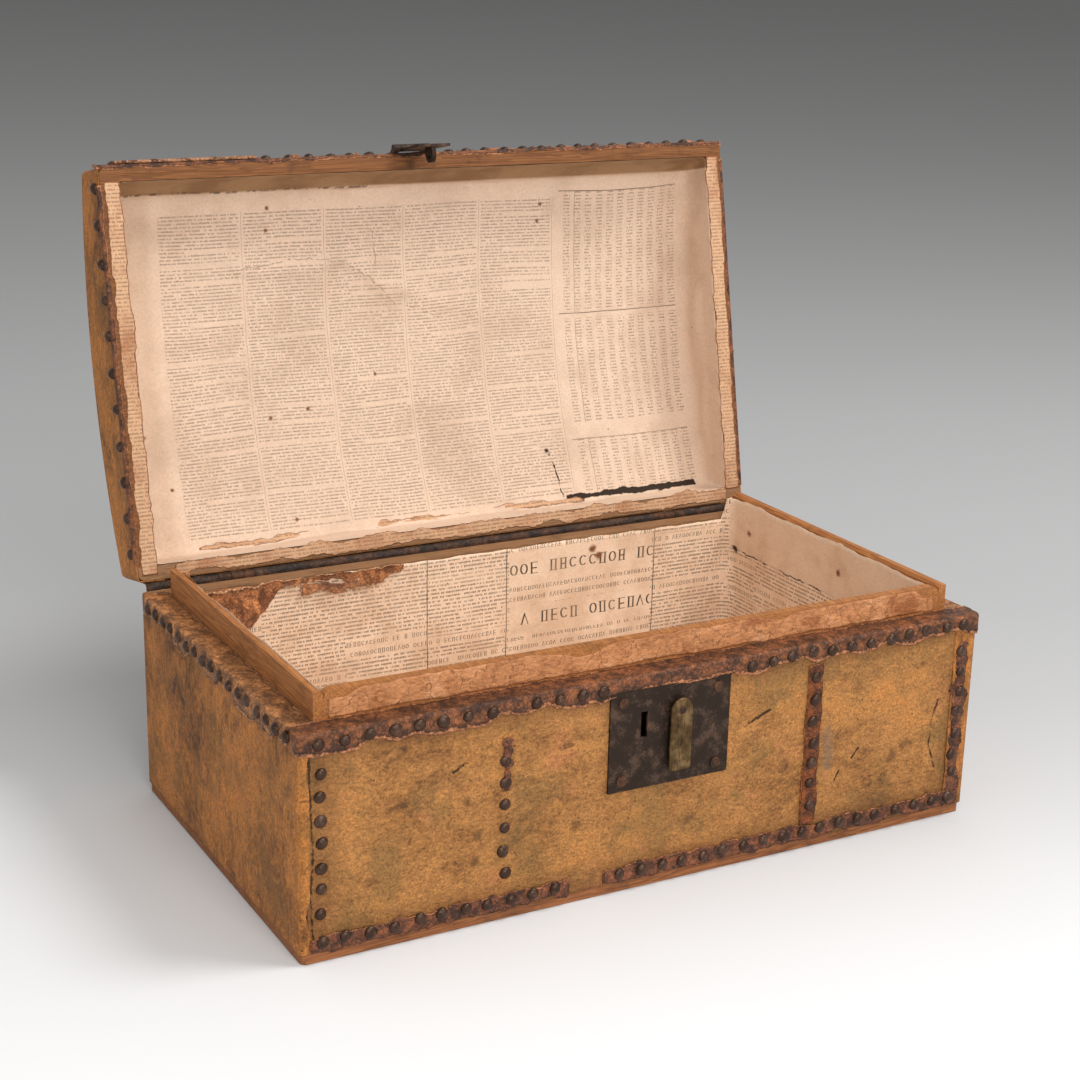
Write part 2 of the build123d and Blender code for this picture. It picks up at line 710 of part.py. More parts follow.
# The leaf widens towards its free end, and the staple's stem passes through it
leaf_foot = hasp_pivot_z - leaf_length
stem_height = 2 * staple_eye_radius
with BuildPart() as hasp_leaf:
    with BuildSketch(Plane.XZ.offset(leaf_inner)) as outline:
        with BuildLine():
            Polyline(
                (leaf_x0, hasp_pivot_z),
                (leaf_x1, hasp_pivot_z),
                (leaf_x1, hasp_pivot_z - leaf_neck),
                (slot_x + leaf_end_width / 2, leaf_foot),
                (slot_x - leaf_end_width / 2, leaf_foot),
                (leaf_x0, hasp_pivot_z - leaf_neck),
                close=True,
            )
        make_face()
        fillet(outline.vertices().sort_by(Axis.Y)[:2], leaf_thickness)
    extrude(amount=leaf_thickness)
    with BuildSketch(Plane.YZ.offset(leaf_x0)):
        with Locations((hasp_pivot_y, hasp_pivot_z)):
            Circle(hasp_barrel_radius)
    extrude(amount=leaf_top_width)
    with BuildSketch(Plane.YZ.offset(leaf_x0)):
        with Locations((hasp_pivot_y, hasp_pivot_z)):
            Circle(hasp_pin_radius + pin_clearance)
    extrude(amount=leaf_top_width, mode=Mode.SUBTRACT)
    slab(slot_x - staple_thickness / 2, slot_x + staple_thickness / 2,
         -leaf_inner - leaf_thickness, -leaf_inner,
         slot_z - stem_height / 2, slot_z + stem_height / 2, Mode.SUBTRACT)
write(hasp_leaf, "hasp_leaf", on_lid=True)

with BuildPart() as hasp_staple:
    with BuildSketch(Plane.YZ.offset(slot_x - staple_thickness / 2)):
        with Locations((bolt_y, slot_z)):
            Circle(staple_radius)
        with Locations(((bolt_y - leaf_inner) / 2, slot_z)):
            Rectangle(staple_eye_reach, 2 * staple_radius)
        with Locations(((bolt_y - leaf_inner - leaf_thickness) / 2, slot_z)):
            Rectangle(staple_eye_reach + leaf_thickness, stem_height)
        with Locations((bolt_y, slot_z)):
            Circle(staple_eye_radius, mode=Mode.SUBTRACT)
    extrude(amount=staple_thickness)
write(hasp_staple, "hasp_staple", on_lid=True)

# One nail: a low round head on the covering and a square shank driven into the wood
with BuildPart() as one_nail:
    with BuildSketch():
        RegularPolygon(nail_head_radius, nail_head_sides)
    extrude(amount=nail_head_height, taper=nail_head_taper)
    with BuildSketch():
        Rectangle(nail_shank, nail_shank)
    extrude(amount=-nail_length)

# Nails of the case
end_face = half_length + hide_thickness + leather_thickness
top_nail_z = case_height - nail_edge
bottom_nail_z = (base_thickness + bottom_binding_top) / 2
row_xs = spaced(-seam_x, seam_x, nail_pitch)
row_ys = spaced(-half_depth + hide_wrap, back_stop - hide_wrap, nail_pitch)
lid_row_ys = spaced(row_ys[0], row_ys[-1], lid_nail_pitch)
column_zs = spaced(bottom_nail_z + column_inset, top_nail_z - column_inset, nail_pitch)
beside_lock = [x for x in row_xs if abs(x - lock_plate_x) > lock_plate_width / 2 + nail_head_radius]
front_nails = [on_front(x, bottom_nail_z, leather_face) for x in still_held(row_xs, lost_bottom_x)]
front_nails += [on_front(x, top_nail_z, leather_face) for x in still_held(beside_lock, lost_top_x)]
front_nails += [on_front(-seam_x, z, hide_face) for z in column_zs]
front_nails += [on_front(seam_x, z, leather_face) for z in column_zs]
front_nails += [on_front(-strap_offset, z, hide_face) for z in column_zs[:-1]]
front_nails += [on_front(strap_offset, z, leather_face) for z in column_zs]
write_nails("case_front_nails", front_nails)
write_nails("case_end_nails", [on_end(side, y, top_nail_z) for side in (-1, 1) for y in row_ys])
write_nails("case_back_nails", [Plane(origin=(x, hide_face, z), x_dir=(1, 0, 0), z_dir=(0, 1, 0))
                                for x in (-seam_x, seam_x)
                                for z in (bottom_nail_z, *column_zs, top_nail_z)])

# Nails of the lid, drawn shut
rim_nail_z = rim_z + rim_binding_width / 2
beside_hasp = [x for x in row_xs if abs(x - slot_x) > hasp_plate_width / 2 + nail_head_radius]
write_nails("lid_front_nails", [on_front(x, rim_nail_z, leather_face) for x in beside_hasp],
            on_lid=True)
write_nails("lid_end_nails", [on_end(side, y, rim_nail_z) for side in (-1, 1) for y in lid_row_ys],
            on_lid=True)
dome_nail_count = round(2 * radians(dome_half_angle) * dome_radius / lid_nail_pitch)
dome_nail_planes = []
for x, layer in ((-seam_x, hide_thickness), (seam_x, hide_thickness),
                 (-strap_offset, hide_thickness + leather_thickness),
                 (strap_offset, hide_thickness + leather_thickness)):
    reach = dome_radius + layer
    for number in range(dome_nail_count):
        angle = radians(dome_half_angle * (2 * (number + 0.5) / dome_nail_count - 1))
        dome_nail_planes.append(Plane(
            origin=(x, reach * sin(angle), dome_centre_z + reach * cos(angle)),
            x_dir=(1, 0, 0), z_dir=(0, sin(angle), cos(angle))))
write_nails("dome_nails", dome_nail_planes, on_lid=True)

lid_top = rim_z + lid_side_height + dome_rise
open_reach = sqrt((half_depth + hinge_y) ** 2 + (lid_top - hinge_z) ** 2)
print(f"dome radius {dome_radius:.1f}, lid {lid_top - rim_z:.1f} high, swings to {open_reach:.1f}")
print(f"hinge axis y {hinge_y:.2f} z {hinge_z:.2f}, hasp axis y {hasp_pivot_y:.2f} z {hasp_pivot_z:.2f}")
print(f"nails on the case's front {len(front_nails)}, over the dome {len(dome_nail_planes)}")
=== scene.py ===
# %% [markdown]
# # A dome-top trunk, lying open
#
# The trunk is a pine box covered with animal hide. Strips of leather cover its edges, rows of domed nails hold the
# leather, and old printed paper lines the inside. The CAD model gives every size and place. This lesson gives the
# pieces their age: hide that swells between its nails, leather with torn edges, paper that has come loose from the
# corners. It starts by loading the CAD model as a frame that nothing here moves.

import math
from functools import reduce
from operator import or_

import bmesh
import bpy
import numpy as np
from mathutils import Matrix, Vector


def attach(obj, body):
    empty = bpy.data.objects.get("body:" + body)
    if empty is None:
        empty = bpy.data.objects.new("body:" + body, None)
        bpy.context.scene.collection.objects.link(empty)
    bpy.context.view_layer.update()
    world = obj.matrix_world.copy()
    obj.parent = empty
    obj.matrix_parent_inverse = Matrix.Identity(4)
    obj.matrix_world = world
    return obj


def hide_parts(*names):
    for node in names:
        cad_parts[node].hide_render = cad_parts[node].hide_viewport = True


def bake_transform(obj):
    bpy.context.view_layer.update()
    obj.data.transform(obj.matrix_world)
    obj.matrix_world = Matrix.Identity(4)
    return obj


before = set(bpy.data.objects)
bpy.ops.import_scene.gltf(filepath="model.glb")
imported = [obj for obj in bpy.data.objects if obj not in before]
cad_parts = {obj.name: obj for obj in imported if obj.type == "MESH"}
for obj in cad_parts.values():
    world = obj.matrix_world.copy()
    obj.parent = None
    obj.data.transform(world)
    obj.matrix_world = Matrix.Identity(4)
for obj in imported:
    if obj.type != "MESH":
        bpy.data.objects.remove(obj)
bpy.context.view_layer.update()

# %% [markdown]
# ## The sizes of the trunk
#
# All lengths are in metres, and mm turns a number of millimetres into metres. The case and the lid are described
# with the lid shut, because both are square then, and a turn about the hinge opens the lid afterwards.

# %% Name the places that the pieces share
mm = 0.001
half_length, half_depth = 239 * mm, 135 * mm
base_top, sheet_top = 6.5 * mm, 140.6 * mm
hide_face, leather_face = 136 * mm, 137.2 * mm
hide_thick, hide_wrap = 0.9 * mm, 221.5 * mm
ledge_top, rim_plane = 142.2 * mm, 142.5 * mm
seam_x = 227 * mm
strap_x = 110 * mm
dome_radius, dome_centre = 444.4 * mm, -243.9 * mm
hinge_y, hinge_z, open_angle = 139.9 * mm, 141.75 * mm, math.radians(101.5)
print("The case is", round(2 * half_length, 3), "m long and", round(2 * half_depth, 3), "m deep")


# %% Turn the lid open
def opened(points):
    """The place of a point of the shut lid after the lid is opened: a turn about the hinge's line, which runs
    along X, by the opening angle."""
    cos, sin = math.cos(-open_angle), math.sin(-open_angle)
    y, z = points[..., 1] - hinge_y, points[..., 2] - hinge_z
    return np.stack([points[..., 0], hinge_y + y * cos - z * sin, hinge_z + y * sin + z * cos], axis=-1)


print("The lid's front edge opens to", opened(np.array([0, -half_depth, rim_plane])).round(3))

# %% [markdown]
# ## Unevenness
#
# Nothing on an old trunk is quite straight. Noise could come from a texture, but a mesh needs it as numbers at
# every point. A sum of many sine waves gives that in one line of array arithmetic. It is smooth, it never repeats
# on a piece this small, and a seed makes it the same on every run.


# %% A sum of waves
def waves(seed, shortest, longest, count=40):
    """A function that gives a smooth random height at each point. The height is a sum of sine waves. Each wave has
    a random direction, a length between the shortest and the longest, and a height in proportion to the square
    root of its length. The sum is scaled to a standard deviation of 1."""
    chance = np.random.default_rng(seed)
    direction = chance.normal(size=(count, 3))
    direction /= np.linalg.norm(direction, axis=1, keepdims=True)
    length = np.exp(chance.uniform(math.log(shortest), math.log(longest), count))
    start = chance.uniform(0, 2 * math.pi, count)
    size = np.sqrt(length)
    size *= math.sqrt(2 / np.sum(size**2))

    def height(points):
        turns = points @ (direction / length[:, None]).T * 2 * math.pi + start
        return np.sum(size * np.sin(turns), axis=-1)

    return height


def along(*coordinates):
    """Points from arrays of x, y and z, or of x alone or x and y. Missing coordinates are 0."""
    coordinates = list(coordinates) + [0.0] * (3 - len(coordinates))
    return np.stack(np.broadcast_arrays(*coordinates), axis=-1).astype(float)


def swelling(place, *parts):
    """A sum of waves. Each part has a seed, its shortest and longest wave in millimetres, and a height."""
    return sum(height * waves(seed, short * mm, long * mm)(place) for seed, short, long, height in parts)


print("Waves spread by", swelling(along(np.linspace(0, 1, 500)), (1, 20, 90, 1.0)).std().round(2))


# %% Smooth steps and ridges
def ease(value, low, high):
    """0 below low, 1 above high, and between them 3t² - 2t³, which starts and ends level."""
    t = np.clip((value - low) / (high - low), 0, 1)
    return t * t * (3 - 2 * t)


def ridge(points, start, end, width, bend):
    """A fold along the line from start to end: exp(-(distance / width)²), where distance is measured to the nearest
    place on the line. The line may bend sideways like half a sine wave."""
    line = end - start
    t = np.clip(((points - start) @ line) / (line @ line), 0, 1)
    side = np.array([-line[1], line[0]]) / np.linalg.norm(line)
    nearest = start + t[..., None] * line + (bend * np.sin(math.pi * t))[..., None] * side
    distance = np.linalg.norm(points - nearest, axis=-1)
    return np.exp(-((distance / width) ** 2))


def folded(swell, flat, *folds):
    """Adds folds to a swelling. Each has a height, and in millimetres its start, end, width and bend."""
    for high, start, end, width, bend in folds:
        swell = swell + high * ridge(flat, np.array(start) * mm, np.array(end) * mm, width * mm, bend * mm)
    return swell


print("Halfway up a step:", ease(0.5, 0, 1))

# %% [markdown]
# ## From an array of points to a piece
#
# Every new piece here is a grid of points, worked out as whole arrays. The faces join each point to its neighbours
# in the next row and column. Blender's own primitives could be pushed into shape instead, but then the formula of
# the shape would be hidden in edits. The faces are turned over if they look the wrong way.


# %% Make a mesh from a grid
def quads(number):
    """The faces of a grid of point numbers: each joins four neighbours."""
    return np.stack([number[:-1, :-1], number[:-1, 1:], number[1:, 1:], number[1:, :-1]], axis=-1).reshape(-1, 4)


def mesh_of(name, points, faces):
    """A mesh from arrays of points and faces."""
    mesh = bpy.data.meshes.new(name)
    mesh.from_pydata(points.reshape(-1, 3).tolist(), [], faces.tolist())
    return mesh


def in_scene(name, data):
    """A new object in the scene."""
    piece = bpy.data.objects.new(name, data)
    bpy.context.scene.collection.objects.link(piece)
    return piece


def fasten(piece, body, nodes):
    """The piece moves with a body and stands for its CAD nodes, which are hidden."""
    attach(piece, body)
    if nodes:
        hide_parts(*nodes)
    print(piece.name, len(piece.data.vertices), "points on", body)
    return piece


def grid_piece(name, points, outward, body, finish, nodes, thick, wear=None, hole=None):
    """A piece from a grid of points (rows, columns, 3) whose faces join neighbours. outward is a direction that the
    piece faces on the whole, and thick adds a wall behind that face. wear is a grid from 0 to 1, kept as an
    attribute, and hole marks the points that are cut out."""
    faces = quads(np.arange(points[..., 0].size).reshape(points.shape[:2]))
    corner = points.reshape(-1, 3)[faces]
    facing = np.cross(corner[:, 2] - corner[:, 0], corner[:, 3] - corner[:, 1]).sum(axis=0)
    if facing @ np.array(outward, float) < 0:
        faces = faces[:, ::-1]
    mesh = mesh_of(name, points, faces)
    if wear is not None:
        layer = mesh.attributes.new("wear", "FLOAT", "POINT")
        layer.data.foreach_set("value", wear.ravel())
    if hole is not None:
        work = bmesh.new()
        work.from_mesh(mesh)
        work.verts.ensure_lookup_table()
        bmesh.ops.delete(work, geom=[work.verts[k] for k in np.flatnonzero(hole)], context="VERTS")
        work.to_mesh(mesh)
        work.free()
    mesh.shade_smooth()
    mesh.materials.append(finish)
    piece = in_scene(name, mesh)
    wall = piece.modifiers.new("thickness", "SOLIDIFY")
    wall.thickness, wall.offset = thick, -1
    return fasten(piece, body, nodes)


def keep_shut(piece, places):
    """Keeps each point's place on the shut lid as the attribute shut, for finishes that read it."""
    layer = piece.data.attributes.new("shut", "FLOAT_VECTOR", "POINT")
    layer.data.foreach_set("vector", places.reshape(-1, 3).ravel())


def steps(start, end, size):
    """Even places from start to end, about size apart."""
    return np.linspace(start, end, max(int(round(abs(end - start) / size)), 1) + 1)


print("A grid of 3 rows has", len(steps(0, 2, 1)), "lines")


# %% Paths that pieces are carried along
class Path:
    """A line through corners in a plane, with the corners rounded: it is divided into short even steps, and each
    place is replaced by the mean of its neighbours within the rounding."""

    def __init__(self, corners, rounding=0.0, side=1):
        step = 0.25 * mm
        corners = np.array(corners, float)
        run = np.concatenate([[0], np.cumsum(np.linalg.norm(np.diff(corners, axis=0), axis=1))])
        s = np.linspace(0, run[-1], int(run[-1] / step) + 1)
        line = np.stack([np.interp(s, run, corners[:, k]) for k in (0, 1)], axis=-1)
        reach = int(rounding / step)
        if reach:
            before = 2 * line[0] - line[reach:0:-1]
            after = 2 * line[-1] - line[-2 : -reach - 2 : -1]
            total = np.cumsum(np.concatenate([np.zeros((1, 2)), before, line, after]), axis=0)
            line = (total[2 * reach + 1 :] - total[: -2 * reach - 1]) / (2 * reach + 1)
        self.run = np.concatenate([[0], np.cumsum(np.linalg.norm(np.diff(line, axis=0), axis=1))])
        self.line, self.length = line, self.run[-1]
        way = np.gradient(line, self.run, axis=0)
        way /= np.linalg.norm(way, axis=1, keepdims=True)
        self.side = side * np.stack([way[:, 1], -way[:, 0]], axis=-1)

    def at(self, s, lift=0.0):
        """The place at the distance s along the line, moved out by lift along the line's outer side."""
        line, side = self.line.T, self.side.T
        return [np.interp(s, self.run, line[k]) + lift * np.interp(s, self.run, side[k]) for k in (0, 1)]


around_corner = Path([(0, 0), (10 * mm, 0), (10 * mm, 10 * mm)], 4 * mm)
print("A 20 mm line round a corner measures", round(around_corner.length / mm, 1), "mm")

# %% [markdown]
# ## A small language for finishes
#
# A finish is a tree of nodes, and wiring dozens of nodes by hand hides the idea behind them. The class Signal lets
# the tree be written as arithmetic: adding two signals adds a Math node. The class Finish holds one material. The
# patterns read Object coordinates, or on paper the place that each point has while the lid is shut, so they stay
# where they are from every side.


# %% Signals
class Signal:
    """A number or colour that runs along a wire of a finish. Arithmetic with it adds nodes."""

    def __init__(self, finish, socket):
        self.finish, self.socket = finish, socket

    def math(self, operation, *others):
        node = self.finish.add("ShaderNodeMath", operation=operation)
        for socket, value in zip(node.inputs, (self, *others)):
            self.finish.wire(value, socket)
        return Signal(self.finish, node.outputs[0])

    def __rsub__(self, other):
        return (self * -1.0) + other

    def rise(self, low, high):
        """0 below low and 1 above high, with a smooth step between them. With low above high it falls."""
        node = self.finish.add("ShaderNodeMapRange", interpolation_type="SMOOTHSTEP")
        self.finish.wire(self, node.inputs["Value"])
        falls = float(low > high)
        settings = {"From Min": min(low, high), "From Max": max(low, high), "To Min": falls, "To Max": 1.0 - falls}
        for label, value in settings.items():
            node.inputs[label].default_value = value
        return Signal(self.finish, node.outputs["Result"])


def math_step(operation):
    """A method that adds one Math node."""
    return lambda signal, *others: signal.math(operation, *others)


MATH_STEPS = {
    "__add__": "ADD", "__radd__": "ADD", "__sub__": "SUBTRACT", "__mul__": "MULTIPLY", "__rmul__": "MULTIPLY",
    "__truediv__": "DIVIDE", "__pow__": "POWER", "__or__": "MAXIMUM", "__and__": "MINIMUM",
    "floor": "FLOOR", "fraction": "FRACT", "size": "ABSOLUTE",
}
for method, operation in MATH_STEPS.items():
    setattr(Signal, method, math_step(operation))


def strongest(signals):
    """The greatest of several signals at each place."""
    return reduce(or_, signals)


print("Signals are ready, with", len(MATH_STEPS), "kinds of Math node")


# %% Finishes
SEED_STEPS = (3.1, 1.7, 2.3)  # how far a seed of 1 moves a noise along X, Y and Z, in patches


class Finish:
    """One material: a Principled shader, and the helpers that build the tree in front of it."""

    def __init__(self, name, **sockets):
        self.material = bpy.data.materials.new(name)
        self.material.use_nodes = True
        self.tree = self.material.node_tree
        self.shader = self.tree.nodes["Principled BSDF"]
        for label, value in sockets.items():
            self.shader.inputs[label.replace("_", " ")].default_value = value
        coordinates = self.add("ShaderNodeTexCoord")
        self.place = Signal(self, coordinates.outputs["Object"])
        self.x, self.y, self.z = self.parts(self.place)
        self.heights = []

    def add(self, kind, **settings):
        node = self.tree.nodes.new(kind)
        for label, value in settings.items():
            setattr(node, label, value)
        return node

    def wire(self, value, socket):
        if isinstance(value, Signal):
            self.tree.links.new(value.socket, socket)
        elif isinstance(value, tuple) and socket.type == "RGBA":
            socket.default_value = (*value[:3], 1.0)
        else:
            socket.default_value = value

    def parts(self, vector):
        node = self.add("ShaderNodeSeparateXYZ")
        self.wire(vector, node.inputs[0])
        return [Signal(self, output) for output in node.outputs]

    def vector(self, x, y=0.0, z=0.0):
        node = self.add("ShaderNodeCombineXYZ")
        for value, socket in zip((x, y, z), node.inputs):
            self.wire(value, socket)
        return Signal(self, node.outputs[0])

    def scaled(self, size, seed, place=None):
        """The coordinates divided by a size, or by a size for each direction, and moved on by the seed."""
        sizes = size if isinstance(size, tuple) else (size,) * 3
        node = self.add("ShaderNodeMapping", vector_type="TEXTURE")
        self.wire(place or self.place, node.inputs["Vector"])
        node.inputs["Location"].default_value = [-seed * step * value for step, value in zip(SEED_STEPS, sizes)]
        node.inputs["Scale"].default_value = sizes
        return Signal(self, node.outputs[0])

    def clouds(self, size, seed, detail, rough, warp=0.0):
        """The outputs of a noise whose patches are about as large as size."""
        node = self.add("ShaderNodeTexNoise")
        self.wire(self.scaled(size, seed), node.inputs["Vector"])
        for label, value in (("Scale", 1.0), ("Detail", detail), ("Roughness", rough), ("Distortion", warp)):
            node.inputs[label].default_value = value
        return node.outputs

    def noise(self, size, seed, detail=4.0, rough=0.55, warp=0.0):
        """Cloudy noise from 0 to 1."""
        return Signal(self, self.clouds(size, seed, detail, rough, warp)[0])

    def cells(self, size, seed, feature="F1", place=None):
        """The distance to the nearest of many scattered points, for grain and cracks."""
        node = self.add("ShaderNodeTexVoronoi", feature=feature)
        self.wire(self.scaled(size, seed, place), node.inputs["Vector"])
        node.inputs["Scale"].default_value = 1.0
        return Signal(self, node.outputs[0])

    def chance(self, *numbers):
        """A random number from 0 to 1 that is the same wherever the given numbers are."""
        node = self.add("ShaderNodeTexWhiteNoise", noise_dimensions="3D")
        self.wire(self.vector(*numbers), node.inputs["Vector"])
        return Signal(self, node.outputs["Value"])

    def vectors(self, operation, *values, output=0, scale=None):
        """One step of vector arithmetic."""
        node = self.add("ShaderNodeVectorMath", operation=operation)
        for value, socket in zip(values, node.inputs):
            self.wire(value, socket)
        if scale is not None:
            self.wire(scale, node.inputs["Scale"])
        return Signal(self, node.outputs[output])

    def shaded(self, colour, factor):
        """The colour times a number."""
        return self.vectors("SCALE", colour, scale=factor)

    def stirred(self, size, amount, seed):
        """The coordinates pushed about by noise, so that what reads them gets a ragged outline."""
        colour = Signal(self, self.clouds(size, seed, 4.0, 0.65)["Color"])
        push = self.vectors("SUBTRACT", colour, (0.5, 0.5, 0.5))
        return self.vectors("ADD", self.place, self.vectors("SCALE", push, scale=amount))

    def spots(self, places, size, stirred):
        """1 at each listed place, 0 from size away on, in stirred coordinates."""
        far = [self.vectors("DISTANCE", stirred, middle, output=1) for middle in places]
        return strongest(one.rise(size, size * 0.3) for one in far)

    def line(self, corners, width, stirred):
        """1 along a line through the corners, 0 from width away on. For each straight part, the share of the way is
        the projection on it, kept between 0 and 1, and the distance is measured to the place found there."""
        parts = []
        for start, end in zip(corners[:-1], corners[1:]):
            way = tuple(b - a for a, b in zip(start, end))
            square = sum(value * value for value in way)
            share = self.vectors("DOT_PRODUCT", self.vectors("SUBTRACT", stirred, start), way, output=1) / square
            nearest = self.vectors("ADD", self.vectors("SCALE", way, scale=(share | 0.0) & 1.0), start)
            parts.append(self.vectors("DISTANCE", stirred, nearest, output=1).rise(width, width * 0.4))
        return strongest(parts)

    def attribute(self, name):
        node = self.add("ShaderNodeAttribute", attribute_name=name)
        return Signal(self, node.outputs["Fac"])

    def mix(self, first, second, amount):
        """The first colour, turning to the second where amount is 1."""
        node = self.add("ShaderNodeMix", data_type="RGBA")
        for value, number in ((amount, 0), (first, 6), (second, 7)):
            self.wire(value, node.inputs[number])
        return Signal(self, node.outputs[2])

    def tones(self, signal, *stops):
        """Colours along a signal: each stop is a place from 0 to 1 and its colour."""
        node = self.add("ShaderNodeValToRGB")
        ramp = node.color_ramp
        while len(ramp.elements) < len(stops):
            ramp.elements.new(0.5)
        for element, (place, colour) in zip(ramp.elements, stops):
            element.position, element.color = place, (*colour, 1.0)
        self.wire(signal, node.inputs["Fac"])
        return Signal(self, node.outputs["Color"])

    def relief(self, height, depth):
        """Adds a bump whose height from 0 to 1 stands for depth."""
        self.heights.append((height, depth))

    def done(self, colour, roughness=None, metal=None):
        """Joins the colour, roughness and bumps to the shader, and gives the material."""
        self.wire(colour, self.shader.inputs["Base Color"])
        if roughness is not None:
            self.wire(roughness, self.shader.inputs["Roughness"])
        if metal is not None:
            self.wire(metal, self.shader.inputs["Metallic"])
        normal = None
        for height, depth in self.heights:
            bump = self.add("ShaderNodeBump")
            bump.inputs["Strength"].default_value, bump.inputs["Distance"].default_value = 1.0, depth
            self.wire(height, bump.inputs["Height"])
            if normal:
                self.wire(normal, bump.inputs["Normal"])
            normal = Signal(self, bump.outputs["Normal"])
        if normal:
            self.wire(normal, self.shader.inputs["Normal"])
        print("Finish", self.material.name, len(self.tree.nodes), "nodes")
        return self.material


def line_at(signal, place, width):
    """1 on a thin line where the signal is near place."""
    return (signal - place).size().rise(width, width * 0.5)


def in_mm(*places):
    """Places from numbers in millimetres."""
    return [tuple(value * mm for value in place) for place in places]


def between(signal, low, high):
    """1 where the signal is between low and high, with borders 0.6 mm soft."""
    soft = 0.3 * mm
    return signal.rise(low - soft, low + soft) & signal.rise(high + soft, high - soft)


print("Finishes are ready")

# %% [markdown]
# ## Hide
#
# The cover is raw animal hide, scraped and dried, the hair worn off. It is a dull yellow brown, cloudy where it is
# stained, with a faint short grain that all runs one way, small dark pricks, and darker where hands and damp have
# been. Large soft clouds, middle stains and fine grain are three noises of very different size. The ends of the
# trunk are redder than the front, and the lid is darker.


# %% Hide finish
def darker(colour, factor):
    return tuple(value * factor for value in colour)


def tinted(colour, *factors):
    """A colour with its red, green and blue times three factors."""
    return tuple(value * factor for value, factor in zip(colour, factors))


def hide_finish(name, pale, middle, dark, grain=(3.6, 2.2, 2.2), front=False):
    """grain is the size of the short hairs' marks in millimetres. The front hide has scars, slits and a stain, and
    painted shade along folds, along the left seam and behind the lock plate.
    """
    f = Finish(name, Roughness=0.62, Specular_IOR_Level=0.22)
    cloud = f.noise(70 * mm, 1, detail=4, rough=0.55)
    stain = f.noise(tuple(value * 5 * mm for value in grain), 2, detail=6, rough=0.66, warp=0.7)
    hairs = f.noise(tuple(value * mm for value in grain), 3, detail=4, rough=0.72)
    fine = f.noise(1.5 * mm, 4, detail=3, rough=0.8)
    tone = cloud * 0.42 + stain * 0.4 + hairs * 0.18
    colour = f.tones(tone, (0.38, dark), (0.46, middle), (0.54, pale), (0.64, tinted(pale, 1.2, 1.1, 1)))
    green = f.noise(45 * mm, 6, detail=5, rough=0.65).rise(0.5, 0.66)
    colour = f.mix(colour, tinted(middle, 0.62, 0.82, 0.9), green * 0.55)
    pink = f.noise(38 * mm, 10, detail=5, rough=0.6).rise(0.58, 0.72)
    colour = f.mix(colour, tinted(pale, 1.15, 0.95, 1.25), pink * 0.55)
    smudge = f.noise((12 * mm, 9 * mm, 9 * mm), 9, detail=5, rough=0.72, warp=0.8).rise(0.6, 0.69)
    colour = f.mix(colour, darker(dark, 0.7), smudge * 0.6)
    prick = f.cells(7 * mm, 7).rise(0.11, 0.06) * f.noise(30 * mm, 8).rise(0.42, 0.6)
    colour = f.mix(colour, darker(dark, 0.3), prick * 0.8)
    colour = f.shaded(colour, (fine - 0.5) * 2.2 + (hairs - 0.5) * 0.9 + 1.0)
    if front:
        colour = front_marks(f, colour, dark, stain, fine)
    f.relief(stain, 1.8 * mm)
    f.relief(hairs, 0.7 * mm)
    f.relief(fine, 0.4 * mm)
    return f.done(colour, 0.5 + stain * 0.25)


def on_face(*places):
    """Places on the front hide, from numbers in millimetres across and up."""
    return in_mm(*((x, -136.6, z) for x, z in places))


scars = on_face((-136, 80), (-128, 58), (-130, 42), (-196, 43), (-62, 52), (187, 60), (176, 52), (20, 40))
# The first three are slits. The other three are painted shade: dark lines along the fold at (60, 96), along the curled
# edge of the left seam and along the fold near the right seam.
slits_and_shade_lines = [
    on_face((-145, 102), (-136, 106)),
    on_face((130, 44), (133, 50)),
    on_face((143, 57), (148, 63)),
    on_face((60, 96), (76, 102)),
    on_face((-233.5, 128), (-233, 100), (-231.5, 70), (-233.5, 40), (-232, 14)),
    on_face((211, 86), (206, 72), (206, 54), (212, 38)),
]
stain_line = on_face((122, 79), (124, 55))


def front_marks(f, colour, dark, stain, fine):
    """Adds dirt near the nailed edges, scars, slits, painted shade along two folds and the left seam's curled edge,
    painted shade behind the lock plate, which makes the keyhole look dark, and a blue stain.
    """
    edge = f.x.size().rise(207 * mm, 229 * mm) | f.z.rise(30 * mm, 14 * mm) | f.z.rise(118 * mm, 134 * mm)
    colour = f.mix(colour, darker(dark, 0.8), edge * stain.rise(0.3, 0.6) * 0.6)
    scar = f.spots(scars, 6 * mm, f.stirred(9 * mm, 14 * mm, 12))
    colour = f.mix(colour, darker(dark, 0.4), scar * 0.55)
    ragged = f.stirred(4 * mm, 3 * mm, 13)
    # Slits, and painted shade along the folds and the left seam.
    slit_and_painted_shade = strongest(f.line(corners, 1.1 * mm, ragged) for corners in slits_and_shade_lines)
    colour = f.mix(colour, darker(dark, 0.12), slit_and_painted_shade * 0.9)
    f.relief(slit_and_painted_shade * -1.0, 0.5 * mm)
    # Painted shade: the hide behind the lock plate is coloured near black, so that the keyhole looks dark inside.
    painted_shade_behind_plate = between(f.x, -38 * mm, 41 * mm) * between(f.z, 72 * mm, 129 * mm)
    colour = f.mix(colour, (0.008, 0.004, 0.003), painted_shade_behind_plate)
    tint = f.line(stain_line, 5 * mm, f.stirred(6 * mm, 9 * mm, 14)) * fine.rise(0.35, 0.6)
    return f.mix(colour, (0.15, 0.12, 0.1), tint * 0.6)


